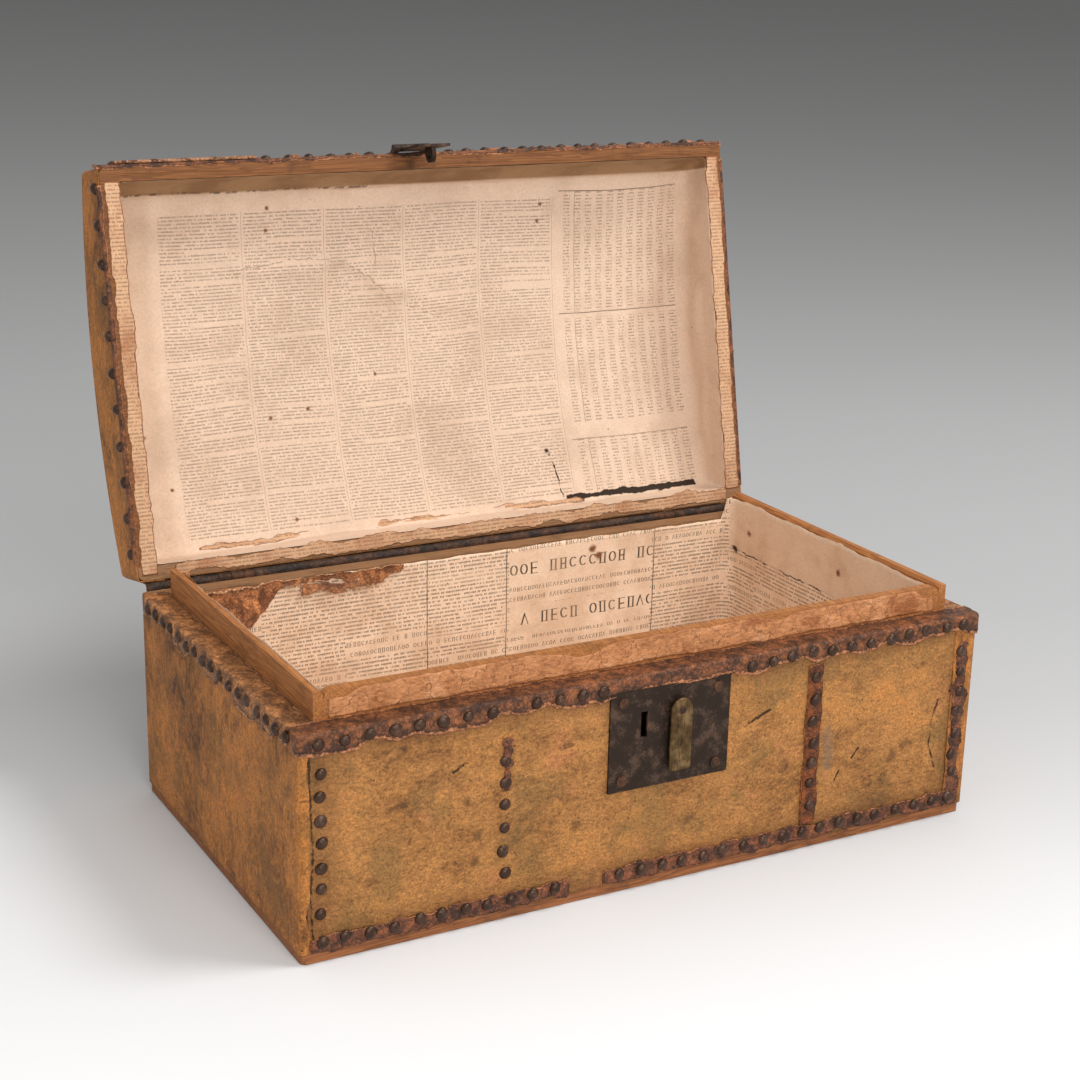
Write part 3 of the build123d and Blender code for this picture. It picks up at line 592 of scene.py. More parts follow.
front_colours = (0.4, 0.18, 0.053), (0.29, 0.125, 0.036), (0.12, 0.05, 0.018)
end_colours = (0.45, 0.176, 0.042), (0.275, 0.106, 0.027), (0.1, 0.042, 0.013)
lid_colours = (0.3, 0.13, 0.04), (0.2, 0.084, 0.027), (0.085, 0.038, 0.015)
front_hide_finish = hide_finish("front hide", *front_colours, front=True)
end_hide_finish = hide_finish("end hide", *end_colours, grain=(2.4, 2.6, 3.8))
lid_hide_finish = hide_finish("lid hide", *lid_colours)

# %% [markdown]
# ## Leather of the bindings
#
# The strips are thin tanned leather, red brown, dry and cracked. The skin has flaked off along the torn edges, and
# what shows there is the pale orange inside of the leather. Each strip carries an attribute, wear, that is 1 at
# its torn edges. It moves the colour from dark skin to raw leather, and noise breaks up the border.


# %% Leather finish
def leather_finish(name, skin, deep, raw, rawness):
    """skin and deep are the outer side's colours and raw the inside's. rawness says how soon the inside shows."""
    f = Finish(name, Roughness=0.5, Specular_IOR_Level=0.35)
    wear = f.attribute("wear")
    patch = f.noise(10 * mm, 1, detail=6, rough=0.7, warp=0.4)
    fine = f.noise(1.9 * mm, 3, detail=4, rough=0.78)
    crack = f.cells(4 * mm, 2, feature="DISTANCE_TO_EDGE", place=f.stirred(6 * mm, 4 * mm, 5)).rise(0.08, 0.0)
    tones = (0.38, darker(deep, 0.6)), (0.45, deep), (0.52, skin), (0.62, darker(skin, 2.0))
    colour = f.tones(patch * 0.6 + fine * 0.4, *tones)
    torn = wear * 0.45 + patch * 0.6 + fine * 0.5
    low = 1.0 - 0.32 * rawness
    bare = torn.rise(low, low + 0.07)
    strand = f.noise(2.6 * mm, 6, detail=4, rough=0.7).rise(0.38, 0.62)
    fibre = f.mix(darker(raw, 0.55), tinted(raw, 1.25, 1.3, 1.5), strand)
    colour = f.mix(colour, fibre, bare)
    colour = f.mix(colour, darker(deep, 0.3), torn.rise(low - 0.07, low - 0.01) * (1.0 - bare) * 0.7)
    colour = f.mix(colour, darker(deep, 0.3), crack * fine.rise(0.4, 0.62) * 0.85)
    f.relief(patch, 0.9 * mm)
    f.relief(fine, 0.4 * mm)
    f.relief(bare * -1.0 - crack * 0.7, 0.25 * mm)
    return f.done(colour, 0.36 + fine * 0.4)


leathers = {
    "binding leather": ((0.185, 0.062, 0.021), (0.06, 0.022, 0.01), (0.42, 0.16, 0.06), 0.65),
    "bottom leather": ((0.17, 0.056, 0.023), (0.055, 0.021, 0.011), (0.38, 0.135, 0.05), 0.25),
    "strap leather": ((0.18, 0.046, 0.008), (0.065, 0.018, 0.005), (0.34, 0.11, 0.025), 0.3),
    "ledge leather": ((0.36, 0.15, 0.05), (0.15, 0.06, 0.022), (0.5, 0.23, 0.1), 0.5),
    "torn leather": ((0.42, 0.17, 0.066), (0.19, 0.072, 0.03), (0.6, 0.3, 0.14), 0.5),
    "rim strip": ((0.3, 0.12, 0.045), (0.15, 0.055, 0.022), (0.42, 0.19, 0.085), 0.3),
    "hinge leather": ((0.06, 0.026, 0.013), (0.016, 0.009, 0.006), (0.26, 0.1, 0.04), 0.3),
}
leather = {name: leather_finish(name, *values) for name, values in leathers.items()}


def lip_skin_finish():
    """The thin skin on the lip is smooth and tan, with pinkish patches and a few fine cracks."""
    f = Finish("lip skin", Roughness=0.6, Specular_IOR_Level=0.25)
    cloud = f.noise(26 * mm, 1, detail=5, rough=0.6, warp=0.5)
    fine = f.noise((3 * mm, 1.4 * mm, 1.4 * mm), 2, detail=4, rough=0.75)
    crack = f.cells(13 * mm, 3, feature="DISTANCE_TO_EDGE", place=f.stirred(12 * mm, 14 * mm, 4)).rise(0.03, 0.0)
    tans = (0.3, 0.105, 0.036), (0.45, 0.19, 0.078), (0.52, 0.225, 0.092), (0.6, 0.3, 0.15)
    colour = f.tones(cloud * 0.75 + fine * 0.25, *zip((0.38, 0.46, 0.54, 0.64), tans))
    colour = f.shaded(colour, (fine - 0.5) * 1.6 + 1.0)
    colour = f.mix(colour, (0.1, 0.035, 0.015), crack * cloud.rise(0.4, 0.52) * 0.75)
    colour = f.mix(colour, (0.2, 0.07, 0.028), f.attribute("wear").rise(0.7, 1.0) * fine.rise(0.35, 0.55) * 0.7)
    f.relief(cloud, 0.8 * mm)
    f.relief(fine, 0.25 * mm)
    return f.done(colour, 0.5 + fine * 0.3)


skin_finish = lip_skin_finish()

# %% [markdown]
# ## Iron, brass and pine
#
# These finishes are for CAD nodes whose shape is right already. Old iron is almost black, with brown rust in
# patches and dull bright wear. The brass cover has gone green brown. The pine is bare only inside and under the
# edges, and its grain follows the length of each board, so the noise is stretched along X, or along Y on the lips.


# %% Metal finishes
def iron_finish(name, dark, rust, amount, roughness):
    """amount says from 0 to 1 how far the rust has spread."""
    f = Finish(name, Metallic=0.3, Specular_IOR_Level=0.35)
    patch = f.noise(13 * mm, 1, detail=6, rough=0.65)
    speck = f.noise(1.3 * mm, 2, detail=3, rough=0.8)
    tone = patch * 0.7 + speck * 0.3
    colour = f.mix(dark, rust, tone.rise(0.6 - 0.22 * amount, 0.72 - 0.2 * amount))
    bright = tuple(value * 4 + 0.03 for value in dark)
    colour = f.mix(colour, bright, speck.rise(0.58, 0.7) * patch.rise(0.42, 0.6) * 0.45)
    f.relief(patch, 0.6 * mm)
    f.relief(speck, 0.2 * mm)
    return f.done(colour, roughness + speck * 0.3, 0.6 - tone.rise(0.45, 0.65) * 0.5)


iron_dark = iron_finish("blackened iron", (0.028, 0.016, 0.01), (0.075, 0.038, 0.02), 0.5, 0.38)
iron_rusty = iron_finish("rusty iron", (0.035, 0.022, 0.016), (0.11, 0.045, 0.02), 0.8, 0.5)
nail_finish = iron_finish("nail heads", (0.05, 0.026, 0.016), (0.08, 0.038, 0.022), 0.6, 0.16)


def brass_finish():
    """Green brown in clouds, with bright scratches that run up and down."""
    f = Finish("dulled brass", Metallic=0.85, Specular_IOR_Level=0.5)
    cloud = f.noise(7 * mm, 1, detail=5, rough=0.6)
    scratch = f.noise((1.0 * mm, 1.0 * mm, 9 * mm), 2, detail=4, rough=0.7)
    tones = (0.36, (0.045, 0.024, 0.009)), (0.5, (0.105, 0.062, 0.025)), (0.62, (0.24, 0.15, 0.07))
    colour = f.tones(cloud * 0.65 + scratch * 0.35, *tones)
    f.relief(cloud, 0.25 * mm)
    f.relief(scratch, 0.06 * mm)
    return f.done(colour, 0.34 + cloud * 0.3)


brass = brass_finish()


# %% Pine finish
def pine_finish(name, pale, dark, along_x=True, dirt=0.4):
    """The year rings are stripes: the fraction of nine times a stretched noise."""
    f = Finish(name, Roughness=0.6, Specular_IOR_Level=0.3)
    run = (120 * mm, 5 * mm, 5 * mm) if along_x else (5 * mm, 120 * mm, 5 * mm)
    ring = f.noise(run, 1, detail=3, rough=0.55, warp=0.5)
    fibre = f.noise(tuple(value / 5 for value in run), 2, detail=4, rough=0.7)
    bands = (ring * 9.0).fraction().rise(0.15, 0.95)
    grime = f.noise(30 * mm, 4, detail=5, rough=0.65)
    colour = f.mix(pale, dark, bands * 0.55 + fibre * 0.35)
    colour = f.mix(colour, darker(dark, 0.25), grime.rise(0.5, 0.75) * dirt)
    f.relief(fibre, 0.3 * mm)
    f.relief(bands, 0.15 * mm)
    return f.done(colour, 0.5 + fibre * 0.3)


base_pine = pine_finish("orange pine", (0.4, 0.15, 0.05), (0.14, 0.048, 0.018), dirt=0.6)
lip_pine = pine_finish("worn pine", (0.5, 0.2, 0.055), (0.2, 0.066, 0.02), along_x=False, dirt=0.5)
rim_pine = pine_finish("red pine", (0.26, 0.1, 0.028), (0.11, 0.036, 0.011), dirt=0.7)
# Painted shade: the front board, seen only through the keyhole, is coloured near black.
shaded_pine = pine_finish("pine in the dark", (0.03, 0.014, 0.008), (0.015, 0.008, 0.005))
board_pine = pine_finish("old pine", (0.34, 0.18, 0.085), (0.2, 0.095, 0.04), dirt=0.5)

# %% [markdown]
# ## Printed paper
#
# The lining is old newspaper. Real words have no place here, so the finish prints marks that look like type from
# afar and say nothing close to. The sheet is divided into lines and each line into letter cells. A random number
# for each cell decides which strokes it has, and about one cell in six is a gap between words.


# %% Marks that look like type
def letter_cells(f, u, v, pitch, letter, seed):
    """v / pitch counts the lines and u / letter the cells of each line, which starts at random. Gives the places
    from 0 to 1 up the line and across the cell, and two random numbers for each cell."""
    line = v / pitch
    row, high = line.floor(), line.fraction()
    cell = u / letter + f.chance(row, seed) * 40.0
    number, across = cell.floor(), cell.fraction()
    return high, across, f.chance(number, row, seed), f.chance(number, row, seed + 5.5)


def type_marks(f, *cells):
    """Ink from 0 to 1 for lines of small marks: one or two stems in each cell, bars, and gaps between words."""
    high, across, first, second = letter_cells(f, *cells)
    body = high.rise(0.24, 0.32) & high.rise(0.66, 0.58)
    tall = high.rise(0.08, 0.16) & high.rise(0.66, 0.58) & second.rise(0.66, 0.7)
    stem = across.rise(0.08, 0.16) & across.rise(0.42, 0.34)
    other = across.rise(0.5, 0.58) & across.rise(0.86, 0.78) & first.rise(0.35, 0.4)
    bar = (high.rise(0.24, 0.3) & high.rise(0.4, 0.34)) | (high.rise(0.5, 0.56) & high.rise(0.68, 0.62))
    bar = bar & across.rise(0.05, 0.12) & across.rise(0.9, 0.84) & second.rise(0.3, 0.35)
    return (((stem | other) & body) | (stem & tall) | bar) * first.rise(0.15, 0.19)


def big_marks(f, *cells):
    """As type_marks, for large letters: each cell has a round stroke, a stem with short bars or two slanting
    strokes, and thin feet end the stems."""
    high, across, kind, other = letter_cells(f, *cells)
    body = high.rise(0.24, 0.27) & high.rise(0.72, 0.69)
    wide, tall = (across - 0.47) / 0.34, (high - 0.48) / 0.215
    ring = (((wide * wide + tall * tall) ** 0.5) - 0.84).size()
    heavy = (wide.size() * 0.22 + 0.05)
    gap = other.rise(0.5, 0.51) * across.rise(0.6, 0.64) * (1.0 - tall.size().rise(0.5, 0.6))
    ring = (heavy - ring).rise(-0.02, 0.03) * (1.0 - gap)
    stem = across.rise(0.14, 0.17) & across.rise(0.34, 0.31)
    second = (across.rise(0.6, 0.63) & across.rise(0.78, 0.75)) * other.rise(0.4, 0.41)
    feet = (high.rise(0.29, 0.27) | high.rise(0.67, 0.69)) * (across.rise(0.07, 0.09) & across.rise(0.86, 0.84))
    bar = (high - 0.47).size().rise(0.03, 0.02) & across.rise(0.14, 0.17) & across.rise(0.78, 0.75)
    bar = bar * other.rise(0.7, 0.69)
    lean = (high - 0.48) * 0.8
    slant = (across - 0.3 - lean).size().rise(0.09, 0.07) | (across - 0.62 + lean).size().rise(0.05, 0.035)
    slant = slant & across.rise(0.95, 0.93)
    upright = (stem | second | feet | bar) & body
    ink = ring * kind.rise(0.4, 0.39) | upright * (kind.rise(0.39, 0.4) & kind.rise(0.74, 0.73))
    return ink | (slant & body) * (kind.rise(0.73, 0.74) & kind.rise(0.88, 0.87))


print("Type is ready")


# %% Paper finish
def paper_start(name):
    """A paper finish that reads the attribute shut, the place of each point while the lid is shut."""
    f = Finish(name, Roughness=0.78, Specular_IOR_Level=0.25)
    node = f.add("ShaderNodeAttribute", attribute_name="shut")
    f.place = Signal(f, node.outputs["Vector"])
    f.x, f.y, f.z = f.parts(f.place)
    return f


def paper_done(
    f, ink, pale, brown, bare, bare_colour, ink_colour=(0.115, 0.075, 0.05), stains=None, wall=None, strong=0.6
):
    """Ages the sheet: brown clouds, foxed spots, and ink that fades in patches. Where bare is 1 the paper has gone,
    and where wall is 1 it is brown all over: on the lid's front inner wall this is painted shade."""
    cloud = f.noise(70 * mm, 1, detail=4, rough=0.55)
    fibre = f.noise(1.6 * mm, 2, detail=3, rough=0.7)
    blot = f.noise(18 * mm, 3, detail=4, rough=0.6)
    clouds = cloud * 0.6 + blot * 0.4
    # Painted shade: where wall is 1 the paper turns brown, the shade on the lid's front inner wall.
    if wall:
        brown = f.mix(brown, (0.26, 0.145, 0.07), wall)
        pale = f.mix(pale, (0.36, 0.22, 0.115), wall)
    colour = f.mix(brown, pale, clouds.rise(0.36, 0.54))
    colour = f.shaded(colour, (fibre - 0.5) * 0.5 + 1.02)
    colour = f.mix(colour, ink_colour, ink * (blot.rise(0.3, 0.62) * 0.25 + strong))
    speck = f.cells(16 * mm, 5).rise(0.045, 0.02) * cloud.rise(0.42, 0.55)
    colour = f.mix(colour, (0.16, 0.06, 0.025), speck)
    if stains:
        colour = f.mix(colour, (0.2, 0.08, 0.035), stains)
    colour = f.mix(colour, bare_colour, bare)
    f.relief(bare * -1.0, 0.5 * mm)
    f.relief(clouds, 1.6 * mm)
    f.relief(fibre, 0.1 * mm)
    return f.done(colour, 0.7 + fibre * 0.2)


def lid_paper():
    """A page of narrow columns with thin rules, and a block of figures in small columns on the right."""
    f = paper_start("lid paper")
    sway = (f.noise(120 * mm, 9, detail=2) - 0.5) * (6 * mm)
    u, v = f.x + sway * 0.5, f.y + sway
    text = type_marks(f, u, v, 2.35 * mm, 0.95 * mm, 1.0)
    figures = type_marks(f, u, v, 2.35 * mm, 1.1 * mm, 2.0)
    gaps = (u / (9.2 * mm)).fraction()
    figures = figures * gaps.rise(0.2, 0.26) * gaps.rise(0.86, 0.8)
    row = (v / (2.35 * mm)).floor()
    columns = u / (61 * mm) + 0.165
    column, ends = columns.floor(), columns.fraction()
    short = f.chance(row, column, 3.0).rise(0.92, 0.93)
    text = text * ends.rise(0.025, 0.035) * ends.rise(0.98, 0.97) * (1.0 - short * ends.rise(0.3, 0.34))
    story = v / (32.9 * mm) + f.chance(column, 7.0)
    heading = f.chance(story.floor(), column, 4.0).rise(0.84, 0.85) * story.fraction().rise(0.1, 0.08)
    text = text * (1.0 - heading * 0.85)
    rules = ends.rise(0.007, 0.003) * between(u, -140 * mm, 118 * mm)
    page = between(u, -193 * mm, 114 * mm) & between(v, -104 * mm, 117 * mm)
    table = between(u, 119 * mm, 219 * mm) & between(v, -108 * mm, 118 * mm)
    table = table * (1.0 - between(v, -18 * mm, -13 * mm) - between(v, 66 * mm, 77 * mm))
    cuts = line_at(v, -17 * mm, 0.5 * mm) | line_at(v, 78 * mm, 0.5 * mm) * 0.7 | line_at(v, -108 * mm, 0.5 * mm)
    cuts = cuts * between(u, 117 * mm, 219 * mm) | line_at(u, 131 * mm, 0.4 * mm) * table * 0.6
    ink = (text | rules * 0.7) * page | (figures * table) | cuts
    edge = line_at(v, -117.4 * mm, 0.9 * mm) * f.noise((3 * mm, 9 * mm, 9 * mm), 8).rise(0.45, 0.55)
    ink = ink | edge * between(u, -215 * mm, -40 * mm)

    def on_sheet(*places):
        return in_mm(*((x, y, 0) for x, y in places))

    keep, f.place = f.place, f.vector(f.x, f.y, 0.0)
    rust = on_sheet(
        (-113, -106), (-114, -91), (102, -99), (100, -87), (-120, 39),
        (-92, 35), (-112, 111), (-213, 44), (-198, 81), (-37, 15),
    )
    stains = f.spots(rust, 2.0 * mm, f.stirred(3 * mm, 2 * mm, 16))
    ragged = f.stirred(7 * mm, 5 * mm, 17)
    crack = f.line(on_sheet((-133, -65), (-95, -70), (-62, -69), (-38, -55), (-17, -33)), 0.55 * mm, ragged)
    crack = crack | f.line(on_sheet((-8, -32), (22, -20)), 0.4 * mm, ragged)
    crack = crack | f.line(on_sheet((-34, -88), (-31, -62)), 0.5 * mm, ragged)
    ink = ink | crack * 0.8
    # The tear and the slot below are torn paper, and their gap is painted shade, coloured near black.
    shaded_tear = f.line(on_sheet((95, 86), (99, 100), (101, 119)), 0.9 * mm, f.stirred(9 * mm, 6 * mm, 18))
    shaded_tear = shaded_tear | f.spots(on_sheet((94, 84)), 2.6 * mm, f.stirred(4 * mm, 4 * mm, 19))
    f.place = keep
    wobble = f.noise(9 * mm, 12, detail=5) - 0.5
    thick = f.noise(14 * mm, 20, detail=4)
    slot = ((f.y + wobble * (5 * mm) - 120.5 * mm).size() - thick * (4.4 * mm)).rise(0.2 * mm, -0.4 * mm)
    bare = between(f.x, 104 * mm, 217 * mm) * slot | shaded_tear
    # Painted shade: the front inner wall is brown all over. The band at the left end is a little browner.
    wall = f.y.rise(-117.2 * mm, -118.6 * mm) | f.x.rise(-194 * mm, -203 * mm) * 0.22
    colours = (0.7, 0.52, 0.39), (0.62, 0.45, 0.33)
    # The colour where the paper has gone is near black: painted shade in the gap behind it.
    return paper_done(f, ink, *colours, bare, (0.03, 0.018, 0.012), stains=stains, wall=wall)


lid_paper_finish = lid_paper()


def case_paper():
    """Advertisements on the walls: the letters differ in size from block to block, and thin rules part the blocks.
    At the left of the back wall the paper has gone, and brown skin shows."""
    f = paper_start("case paper")
    on_end = ((f.x.size() - 218 * mm) - ((f.y - 4 * mm).size() - 118 * mm)).rise(-0.0005, 0.0005)
    u = f.x + (f.y - f.x) * on_end
    v = f.z + f.y * f.z.rise(9 * mm, 8 * mm)
    small = type_marks(f, u, v, 2.9 * mm, 1.2 * mm, 5.0)
    middle = big_marks(f, u, v, 7.5 * mm, 3.0 * mm, 6.0)
    large = big_marks(f, u, v, 19 * mm, 8.2 * mm, 7.0)
    block = ((u + 38 * mm) / (62 * mm)).floor()
    pick = f.chance((v / (7.5 * mm)).floor(), block, 9.0)
    wide = between(u, 27 * mm, 147 * mm) * (1.0 - on_end)
    ads = small * pick.rise(0.24, 0.26) | middle * pick.rise(0.22, 0.2)
    strips = v / (19 * mm)
    rows = strips.fraction()
    every_other = (strips.floor() / 2.0).fraction().rise(0.2, 0.3)
    notice = large * (1.0 - every_other) | middle * every_other * rows.rise(0.8, 0.78)
    ink = ads * (1.0 - wide) | notice * wide
    rules = strongest(line_at(f.x, x * mm, 0.45 * mm) for x in (-38, 25, 149))
    ink = ink * (1.0 - on_end * f.z.rise(116 * mm, 118 * mm)) | rules * (1.0 - on_end)
    ink = ink * f.z.rise(8 * mm, 11 * mm)
    # Painted shadow: a dark line under the torn edge of the upper sheet on the ends, and a dark tear in the back right
    # corner.
    tear_line = f.z + (f.noise(13 * mm, 13, detail=5, rough=0.65) - 0.5) * (9 * mm)
    shaded_tear = line_at(tear_line, 117 * mm, 0.6 * mm) * on_end * f.noise(20 * mm, 15).rise(0.44, 0.5)
    ragged = f.stirred(5 * mm, 5 * mm, 16)
    shaded_tear = shaded_tear | f.line(in_mm((217, 121, 121), (217, 112, 117)), 2.6 * mm, ragged)
    torn_low = f.z + (f.noise(7 * mm, 17, detail=5, rough=0.6) - 0.5) * (8 * mm)
    torn_low = torn_low - f.x.rise(-178 * mm, -143 * mm) * (30 * mm)
    skin = torn_low.rise(106.2 * mm, 106.8 * mm) * f.x.rise(-120 * mm, -140 * mm) * f.y.rise(90 * mm, 96 * mm)
    brown = f.mix((0.16, 0.06, 0.024), (0.42, 0.18, 0.07), f.noise(6 * mm, 18, detail=6, rough=0.7).rise(0.38, 0.6))
    # Painted shade: the gaps where the paper is torn are near black. Where the skin shows it is brown.
    under = f.mix((0.06, 0.03, 0.018), brown, skin)
    hole = f.spots(in_mm((218, 96, 134), (218, -14, 136), (96, 121, 131), (101, 121, 125)), 4 * mm, ragged)
    stains = hole | on_end * f.z.rise(116 * mm, 117 * mm) * 0.12
    colours = (0.8, 0.6, 0.44), (0.68, 0.475, 0.325)
    return paper_done(f, ink, *colours, shaded_tear | skin, under, ink_colour=(0.05, 0.03, 0.018), stains=stains, strong=0.72)


case_paper_finish = case_paper()


def rim_paper():
    """Small print on the lid's rim, rubbed brown and torn at the outer edge."""
    f = paper_start("rim paper")
    ink = type_marks(f, f.x, f.y, 2.6 * mm, 1.1 * mm, 15.0)
    wear = f.attribute("wear")
    patch = f.noise(7 * mm, 16, detail=5, rough=0.65)
    torn = (wear * 0.6 + patch * 0.6).rise(0.72, 0.8)
    return paper_done(f, ink, (0.6, 0.36, 0.21), (0.42, 0.2, 0.1), torn, (0.3, 0.11, 0.045))


rim_paper_finish = rim_paper()

# %% [markdown]
# ## The nails and where they sit
#
# About two hundred round-headed nails hold the leather. Their places are in the CAD nodes: every nail there is the
# same small solid, so the node's points, taken in equal groups, give one seat for each nail. The head of a real nail
# is hammered by hand, so each one gets its own size, tilt and dents. One dome with a few dozen faces is enough,
# because it is repeated so often.


# %% Find the seats
NAIL_FACES, HEAD_HEIGHT = 44, 2.2 * mm  # of each nail in the CAD nodes


def nail_seats(node, outward):
    """The middle of each nail head's base and its direction. The CAD node holds equal groups of points, one for
    each nail. outward gives the direction of the nail from its middle."""
    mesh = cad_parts[node].data
    points = np.empty(len(mesh.vertices) * 3)
    mesh.vertices.foreach_get("co", points)
    points = points.reshape(-1, 3)
    faces = np.empty(len(mesh.polygons) * 3, dtype=int)
    mesh.polygons.foreach_get("vertices", faces)
    groups = points[faces].reshape(-1, NAIL_FACES * 3, 3)
    middle = (groups.max(axis=1) + groups.min(axis=1)) / 2
    way = outward(middle)
    reach = np.einsum("nki,ni->nk", groups, way)
    base = middle + way * (reach.max(axis=1) - HEAD_HEIGHT - np.einsum("ni,ni->n", middle, way))[:, None]
    return base, way


def straight(*way):
    """Every nail points the same way."""
    return lambda middle: np.tile(np.array(way, float), (len(middle), 1))


front_seats = nail_seats("case_front_nails", straight(0, -1, 0))
back_seats = nail_seats("case_back_nails", straight(0, 1, 0))
end_seats = nail_seats("case_end_nails", lambda m: along(np.sign(m[:, 0]), 0, 0))
print("Seats:", len(front_seats[0]), len(back_seats[0]), len(end_seats[0]))


# %% Open lid directions
def turned(way):
    """A direction on the shut lid, turned as the lid opens."""
    return opened(np.array(way, float)) - opened(np.zeros(3))


hub = opened(np.array([0, 0, dome_centre]))


def from_hub(middle):
    """Straight out from the line that the dome is drawn round."""
    out = (middle - hub) * np.array([0, 1, 1])
    return out / np.linalg.norm(out, axis=1, keepdims=True)


dome_seats = nail_seats("dome_nails", from_hub)
lid_end_seats = nail_seats("lid_end_nails", lambda m: along(np.sign(m[:, 0]), 0, 0))
lid_front_seats = nail_seats("lid_front_nails", straight(*turned((0, -1, 0))))
print("Seats on the lid:", len(dome_seats[0]), len(lid_end_seats[0]), len(lid_front_seats[0]))


# %% Domed nail heads
def close_doubles(mesh):
    """Points in the same place become one, which closes poles and seams."""
    work = bmesh.new()
    work.from_mesh(mesh)
    bmesh.ops.remove_doubles(work, verts=work.verts, dist=0.002 * mm)
    bmesh.ops.recalc_face_normals(work, faces=work.faces)
    work.to_mesh(mesh)
    work.free()


def nail_heads(name, seats, body, node, seed):
    """Every head is a ring of circles: at the angle a from the pole the radius is width·sin a and the height
    high·cos a. Its last circle is turned under the edge. Each head is widened, tilted and dented at random."""
    base, way = seats
    size, high, count, round_count = 3.9 * mm, 2.7 * mm, len(base), 10
    chance = np.random.default_rng(seed)
    angle = np.radians([0, 28, 55, 78, 96])
    turn = np.arange(round_count) / round_count * 2 * math.pi
    ring_x = (np.sin(angle)[:, None] * np.cos(turn)).ravel()
    ring_y = (np.sin(angle)[:, None] * np.sin(turn)).ravel()
    ring_z = np.repeat(np.cos(angle), round_count)
    side = np.cross(way, [0.31, 0.22, 0.93])
    side /= np.linalg.norm(side, axis=1, keepdims=True)
    other = np.cross(way, side)
    width = size * chance.uniform(0.9, 1.07, (count, 1)) * (1 + 0.05 * chance.normal(size=(count, 1)) * ring_x)
    tilt = chance.normal(size=(count, 2)) * 0.07
    high = high * chance.uniform(0.85, 1.1, (count, 1))
    height = high * ring_z + width * (tilt[:, :1] * ring_x + tilt[:, 1:] * ring_y)
    shift = chance.normal(size=(count, 2)) * 0.6 * mm
    points = (
        base[:, None]
        + side[:, None] * (width * ring_x + shift[:, :1])[..., None]
        + other[:, None] * (width * ring_y + shift[:, 1:])[..., None]
        + way[:, None] * (height - 0.1 * mm)[..., None]
    )
    rings = np.arange(len(angle) * round_count).reshape(len(angle), round_count)
    head = quads(np.concatenate([rings, rings[:, :1]], axis=1))[:, [0, 3, 2, 1]]
    mesh = mesh_of(name, points, (head + (np.arange(count) * rings.size)[:, None, None]).reshape(-1, 4))
    close_doubles(mesh)
    mesh.shade_smooth()
    mesh.materials.append(nail_finish)
    return fasten(in_scene(name, mesh), body, [node])


nail_heads("front_nail_heads", front_seats, "case", "case_front_nails", 1)
nail_heads("end_nail_heads", end_seats, "case", "case_end_nails", 2)
nail_heads("back_nail_heads", back_seats, "case", "case_back_nails", 3)
nail_heads("dome_nail_heads", dome_seats, "lid", "dome_nails", 4)
nail_heads("lid_end_nail_heads", lid_end_seats, "lid", "lid_end_nails", 5)
nail_heads("lid_front_nail_heads", lid_front_seats, "lid", "lid_front_nails", 6)

# %% [markdown]
# ## The hide on the case
#
# The hide was nailed on wet and shrank as it dried. It is tight under every nail and swells a little between them.
# The front sheet is a grid whose height is a sum of waves, and the waves are pinned: near a nail, and under the lock
# plate, their height falls to nothing. The end sheets are carried along a path that turns round both corners.


# %% How far the hide is held down
def pinned(points, seats, reach=11 * mm):
    """0 under a nail and 1 away from all nails: 1 - exp(-(distance / reach)²) for the nearest nail."""
    gap = np.linalg.norm(points[..., None, :] - seats, axis=-1).min(axis=-1)
    return 1.0 - np.exp(-((gap / reach) ** 2))


def free_of_plate(x, z):
    """0 under the lock plate and 1 from 12 mm off its edge."""
    left, right, bottom, top = -41 * mm, 44.5 * mm, 68 * mm, 132.5 * mm
    off = np.maximum(np.maximum(left - x, x - right), np.maximum(bottom - z, z - top))
    return ease(off, 0, 12 * mm)


print("Hide can be pinned")

# %% Front sheet
def held_at_rims(x, z, side, bottom, top, top_end):
    """0 at the sheet's sides, bottom and top, and 1 from the given places inwards."""
    return ease(np.abs(x), seam_x, side) * ease(z, base_top, bottom) * ease(z, top_end, top)


x, z = np.meshgrid(steps(-235.4 * mm, 229 * mm, 2 * mm), steps(base_top, sheet_top, 2 * mm))
place = along(x, -hide_face, z)
swell = swelling(place, (11, 25, 110, 0.35), (12, 9, 26, 0.1)) + 0.45
creases = (1.2, (47, 88), (104, 114), 3.5, -4), (0.8, (204, 40), (206, 78), 8, 0)
swell = folded(swell, np.stack([x, z], -1), *creases)
held = pinned(place, front_seats[0]) * free_of_plate(x, z) * held_at_rims(x, z, 219 * mm, 24 * mm, 121 * mm, 139 * mm)
lift = np.clip(swell, 0, 2.2) * held * mm
slot = (np.abs(x + 17.2 * mm) < 4.2 * mm) & (np.abs(z - 109.5 * mm) < 10.5 * mm)
points = along(x, -hide_face - lift, z)
grid_piece("front_sheet", points, (0, -1, 0), "case", front_hide_finish, ["front_hide"], hide_thick, hole=slot)

# %% Back sheet
x, z = np.meshgrid(steps(-229 * mm, 229 * mm, 3 * mm), steps(base_top, sheet_top, 3 * mm))
lift = np.clip(swelling(along(x, hide_face, z), (13, 25, 120, 0.35)) + 0.4, 0, 1.6) * mm
for hinge_x in (-172 * mm, 172 * mm):
    lift = lift * ease(np.abs(x - hinge_x), 14 * mm, 28 * mm)
lift = lift * held_at_rims(x, z, 216 * mm, 22 * mm, 125 * mm, sheet_top)
points = along(x, hide_face + lift, z)
grid_piece("back_sheet", points, (0, 1, 0), "case", lid_hide_finish, ["back_hide"], hide_thick)


